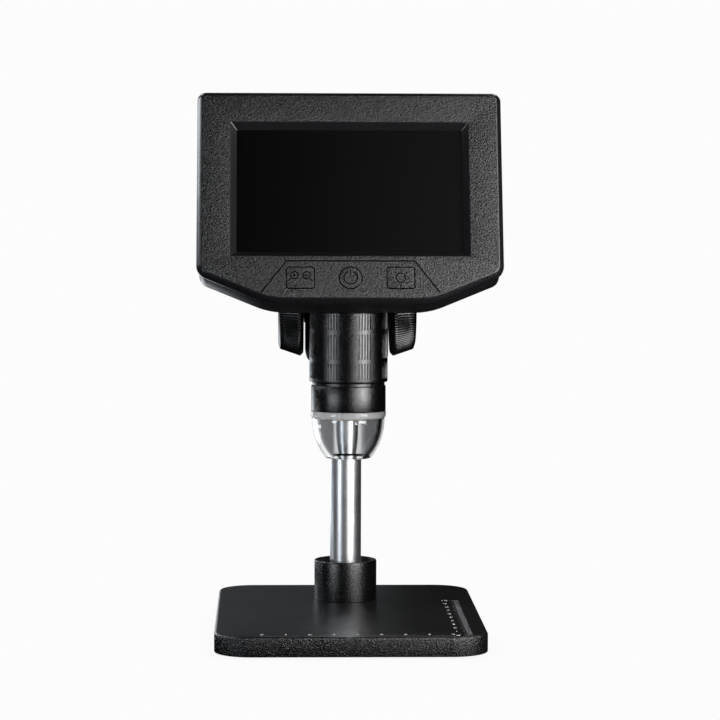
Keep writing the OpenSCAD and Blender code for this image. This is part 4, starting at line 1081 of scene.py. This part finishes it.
# Sun with its rays
def drawLight(build, front):
    k, x, z = signs, keyRow["x"], keyRow["z"]
    rings = [ringGroove(build, x, z, k["sunR"], front)]
    turn = 360 / k["rays"]
    for i, (rayX, rayZ) in enumerate(circle(x, z, k["rayR"], k["rays"])):
        rings.append(groove(build, bar(rayX, rayZ, k["ray"], turn * i), front, k["deep"]))
    return rings


# Key with rounded rim, flange and stem; draw engraves its sign and gives back the rings
def makeKey(name, node, x, draw):
    k = keyRow
    build = Builder()
    front, low = -k["proud"], k["flangeD"] + k["flangeT"]

    def outline(grown):
        return keyOutline(x, grown, k["r"] + grown)

    rim = headStrip(build, outline, [(-0.3, front), (-0.1, front + 0.04), (0, front + 0.2)])
    flange = headStrip(build, outline, [
        (0, front + 0.2), (0, k["flangeD"]), (k["flange"], k["flangeD"]), (k["flange"], low)],
        recessShadeMark)
    stem = headStrip(build, lambda g: circle(x, k["z"], k["stemR"], 24),
                     [(0, low), (0, k["stemEnd"])])
    build.fill([flange[1], stem[0]])
    build.fill([stem[1]])
    build.fill([rim[0]] + draw(build, front))
    obj = build.make(name, faceFinishes, headMatrix)
    settle(obj, node, "grained_plastic", node)


def makeKeys():
    makeKey("zoomKey", "zoom_key", -keyRow["x"], drawZoom)
    makeKey("powerKey", "power_key", 0, drawPower)
    makeKey("lightKey", "light_key", keyRow["x"], drawLight)


# Rear shell: its neck around the barrel with a pad behind, and the openings for the sockets
neck = {
    "r": 16.9, "dome": 8, "z0": 141.2, "z1": 168.2, "padW": 22, "padY": 7.0, "padZ": 145.2,
    "front": 4.4, "boreR": 14.9, "boreEndR": 13.1, "ledge": 2.0, "boreH": 25, "boreFront": 3.3,
}
ports = [  # front and back are depths in the head
    {"z": 46.8, "w": 9.3, "front": 10.2, "back": 13.8, "r": 1.75},
    {"z": 67.8, "w": 11.5, "front": 10.2, "back": 12.2, "r": 0.3},
]


# All that lies in front of some depth of the head
def inFront(depth):
    return boxTool((-70, -60, -70), (70, depth, 150), headMatrix)


def makeRearShell():
    back = head["depth"]
    # the shell's outline: inset, depth
    rows = [(1.35, 4.22), (1.08, 4.3), (1.0, 4.5), (1.0, back - 2.9), (1.1, back - 2.5),
            (1.35, back - 2.2), (3.35, back - 0.28), (3.65, back - 0.08), (4.1, back)]
    obj = solid("rearShell", [headLevel(headOutline(i), d) for i, d in rows], ["rear"], headMatrix)
    n = neck
    r, h, dome, foot = n["r"], n["z1"] - n["z0"], n["dome"], at(0, barrel["y"], n["z0"])
    stub = lathe("tool", [(0, 0), (r - 0.4, 0), (r - 0.1, 0.1), (r, 0.4)]
                 + arc(r - dome, h - dome, dome, 0, 85, 14) + [(0, h)],
                 ["shell"], foot, 160)
    cut(stub, inFront(n["front"]))
    cut(obj, stub, "UNION")
    cut(obj, boxTool((-n["padW"] / 2, barrel["y"], n["padZ"]),
                     (n["padW"] / 2, n["padY"], n["z1"] - dome)), "UNION")
    rows = [(3.0, 4.0), (3.0, back - 3.6), (4.6, back - head["wall"])]
    cut(obj, solid("tool", [headLevel(headOutline(i), d) for i, d in rows], [], headMatrix))
    r, h = n["boreR"], n["boreH"]
    bore = lathe("tool", [(0, -0.5), (n["boreEndR"], -0.5), (n["boreEndR"], n["ledge"]),
                          (r, n["ledge"])] + arc(r - dome, h - dome, dome, 0, 85, 10) + [(0, h)],
                 [], foot, 96)
    cut(bore, inFront(n["boreFront"]))
    cut(obj, bore)
    for p in ports:
        middle, depth = (p["front"] + p["back"]) / 2, p["back"] - p["front"]
        outline = roundRect(middle, p["z"], depth, p["w"], p["r"])
        through = (head["w"] / 2 - 5.5, head["w"] / 2 + 4.5)  # the side wall
        loops = [[(x, y, z) for y, z in outline] for x in through]
        cut(obj, solid("tool", loops, [], headMatrix))
    for x, z in postPlaces:
        cut(obj, holeTool(head["sinkR"], head["sink"], 1, headMatrix @ at(x, back, z), 40))
    settle(obj, "carriage", "satin_plastic", "rear_shell")


makeBezel()
makeKeys()
makeRearShell()
print("head made")

# Screws: sizes, places in mm, turn about X in degrees
screws = {
    "holderScrews": {
        "headR": 2.75, "headH": 1.8, "stemR": 1.4, "stem": 8, "hexR": 1.25, "hexDeep": 1.1,
        "places": [(x, y, 166.2) for x in (-13.8, 13.8) for y in (16.5, 45.5)],
        "turn": 0, "matrix": Matrix.Identity(4), "body": "carriage", "node": "holder_screws"},
    "shellScrews": {
        "headR": 2.35, "headH": 1.2, "stemR": 1.2, "stem": 11.5,
        "places": [(x, head["depth"] - 1.55, z) for x, z in postPlaces],
        "turn": -90, "matrix": headMatrix, "body": "carriage", "node": "shell_screws"},
    "baseScrews": {
        "headR": 2.7, "headH": 1.1, "stemR": 1.35, "stem": 4.3,
        "places": [(x, y, 1.9) for x in (-46, 46) for y in (-67.5, 67.5)],
        "turn": 180, "matrix": Matrix.Identity(4), "body": "stand", "node": "base_screws"},
}


# Screw along local Z, its head above zero, with a six-sided socket or a crossed recess
def oneScrew(k):
    r, h, stemR = k["headR"], k["headH"], k["stemR"]
    if "hexR" in k:
        tip, floor, recess = 0.25, h - k["hexDeep"], circle(0, 0, k["hexR"], 6)
        rim = [(r, h - 0.25), (r - 0.07, h - 0.07), (r - 0.25, h)]
    else:
        tip, floor, recess = 0.2, h * 0.3, crossOutline(0, 0, r * 0.6, r * 0.14)
        rim = [(r, h * 0.55), (r * 0.94, h * 0.8), (r * 0.75, h)]
    rows = [(stemR - tip, -k["stem"]), (stemR, tip - k["stem"]), (stemR, 0), (r, 0)] + rim
    build = Builder()
    ring = build.strip([flat(circle(0, 0, r, 32), z) for r, z in rows])
    build.face(ring[0])
    hole = build.strip([flat(recess, z) for z in (h, floor)])
    build.fill([ring[1], hole[0]])
    build.fill([hole[1]])
    return build.make("part", ["steel"])


for name, k in screws.items():
    turn = (math.radians(k["turn"]), 0, 0)
    obj = repeat(name, oneScrew(k), k["places"], turn, "steel", k["matrix"])
    settle(obj, k["body"], "steel", k["node"])
print("screws made")

# Finishes of the CAD pieces that show as they are
plainNodes = {
    "shell": ["barrel_tube", "lens_carrier"],
    "screen": ["screen_window"],
    "lens": ["objective_lens", "dust_glass"],
    "steel": ["ballast_plate", "column_bolt", "column_washer", "collar_screw", "tension_screw",
              "arm_screws", "pinion_shaft", "knob_screws", "ring_nut", "lcd_frame",
              "usb_socket", "card_socket"],
    "rubber": ["rubber_feet"],
    "bush": ["friction_pad"],
    "brass": ["rack_strip"],
    "board": ["main_board", "camera_board", "key_board"],
    "whiteBoard": ["led_board"],
    "chip": ["board_chips", "image_sensor", "key_switches", "lcd_panel"],
    "foil": ["battery"],
    "cable": ["camera_ribbon"],
}
for finish, names in plainNodes.items():
    for name in names:
        nodes[name].material_slots[0].material = finishes[finish]
print("plain pieces finished")

# Floor, light and camera
studio = {
    # lamps: azimuth from the front towards +X, height, distance, width and height of the
    # face in metres, watts
    "lamps": {
        "key": (46, 0.28, 0.36, 0.14, 0.5, 1.85),
        "keyHigh": (46, 0.42, 0.36, 0.16, 0.25, 0.35),
        "keyLow": (24, 0.01, 0.45, 0.04, 0.02, 0.1),
        "front": (26, 0.25, 0.42, 0.12, 0.4, 0.48),
        "fill": (-48, 0.08, 0.5, 0.14, 0.14, 0.42),
        "side": (-66, 0.42, 0.6, 0.15, 0.2, 0.3),
        "edge": (-112, 0.42, 0.6, 0.20, 0.25, 1.25),
        "low": (-148, 0.06, 0.30, 0.12, 0.10, 0.1),
        "rim": (-145, 0.25, 0.6, 0.25, 0.3, 0.08),
        "edgeLow": (-115, 0.01, 0.4, 0.05, 0.02, 0.03),
        "behind": (158, 0.62, 0.6, 0.2, 0.2, 0.25),
        "backLeft": (-150, 0.62, 0.6, 0.2, 0.2, 0.3),
        "rear": (-172, 0.12, 0.7, 0.30, 0.3, 0.03),
        "above": (15, 0.75, 0.8, 0.40, 0.3, 0.06),
    },
    "cool": (0.88, 0.94, 1.0),  # light from the left
    "ambient": 0.004,  # what reflections see of the room
    "white": 0.974,  # what the eye sees of it
    "hoodShadeFrom": 0.45,  # share of a ray's way that goes to the right beyond which rays through clear plastic see dark: painted shade on the hood's right side
    "hoodShadeFade": 0.25,
    "floorDrop": 0.05, "floorSize": 6000,  # in mm
}


def areaLamp(name, azimuth, z, away, w, h, watts):
    lamp = bpy.data.lights.new(name, "AREA")
    lamp.shape = "RECTANGLE"
    lamp.size = w
    lamp.size_y = h
    lamp.energy = watts
    lamp.color = (1, 1, 1) if azimuth > 0 else studio["cool"]
    obj = link(name, lamp)
    a = math.radians(azimuth)
    obj.location = (away * math.sin(a), -away * math.cos(a), z)
    obj.rotation_euler = (Vector((0, 0, z)) - obj.location).to_track_quat("-Z", "Y").to_euler()
    obj.visible_camera = False


def makeStudio():
    for name, values in studio["lamps"].items():
        areaLamp(name, *values)
    world = bpy.data.worlds.new("studio")
    world.use_nodes = True
    scene.world = world
    tree = Tree(world.node_tree)
    right = tree.split(tree.add("ShaderNodeTexCoord", out="Generated"))
    share = seenPlainly(tree, right)
    colour = tree.mixColour(share, grey(studio["ambient"]), grey(studio["white"]))
    tree.join(colour, world.node_tree.nodes["Background"].inputs["Color"])


def grey(value):
    return (value, value, value, 1)


# 1 where white is seen straight, or through clear plastic and not far to the right; further right,
# rays through clear plastic see dark, a painted shade on the hood's right side
def seenPlainly(tree, right):
    path = tree.add("ShaderNodeLightPath", out="Is Camera Ray")
    share = ((studio["hoodShadeFrom"] - right) / studio["hoodShadeFade"]).limit(0, 1)
    return path.maths("MAXIMUM", path, path.pick("Is Transmission Ray") * share)


def makeFloor():
    build = Builder()
    size, white = studio["floorSize"], studio["white"]
    build.face(build.loop(flat([(-size, -size), (size, -size), (size, size), (-size, size)],
                               -studio["floorDrop"])))
    mat, tree, _, place = newMaterial("paleFloor", {
        "Base Color": grey(0.03), "Roughness": 0.9, "Specular IOR Level": 0.0})
    # the floor's glow darkened where the object is near: a painted contact shadow
    near = tree.add("ShaderNodeAmbientOcclusion", {"samples": 8}, {"Distance": 0.02}, out="AO")
    glow = tree.add("ShaderNodeEmission", {}, {
        "Color": tree.mixColour(near, grey(white * 0.94), grey(white)), "Strength": 1.0})
    # how far to the right a point lies, as seen from the middle of the hood, for the painted shade
    # on the hood's right side
    middle = (0, barrel["y"] * mm, (hood["z"] - hood["cut"] / 2) * mm)
    away = tree.add("ShaderNodeVectorMath", {"operation": "DISTANCE"}, {
        0: place, 1: middle}, "Value")
    plain = Sock(tree, mat.node_tree.nodes["Principled BSDF"].outputs[0])
    mixed = tree.add("ShaderNodeMixShader", {}, {
        "Fac": seenPlainly(tree, tree.split(place) / away), 1: plain, 2: glow})
    tree.join(mixed, mat.node_tree.nodes["Material Output"].inputs["Surface"])
    finishes["floor"] = mat
    build.make("paleFloor", ["floor"])


# Camera: place in metres, angles in degrees, lens and sensor in mm
view = {
    "place": (-0.03409, -1.28122, 0.19924), "yaw": 1.7626, "pitch": 3.5635, "roll": 0.1512,
    "lens": 146.298, "sensor": 36,
}


def makeCamera():
    camera = bpy.data.cameras.new("camera")
    camera.lens = view["lens"]
    camera.sensor_width = view["sensor"]
    camera.clip_start = 0.01
    obj = link("camera", camera)
    turn = Matrix.Rotation(-math.radians(view["yaw"]), 4, "Z")
    turn = turn @ Matrix.Rotation(math.radians(90 - view["pitch"]), 4, "X")
    turn = turn @ Matrix.Rotation(math.radians(view["roll"]), 4, "Z")
    obj.matrix_world = Matrix.Translation(view["place"]) @ turn
    scene.camera = obj


makeStudio()
makeFloor()
makeCamera()
scene.view_settings.view_transform = "Standard"
scene.view_settings.look = "None"
print("studio ready")
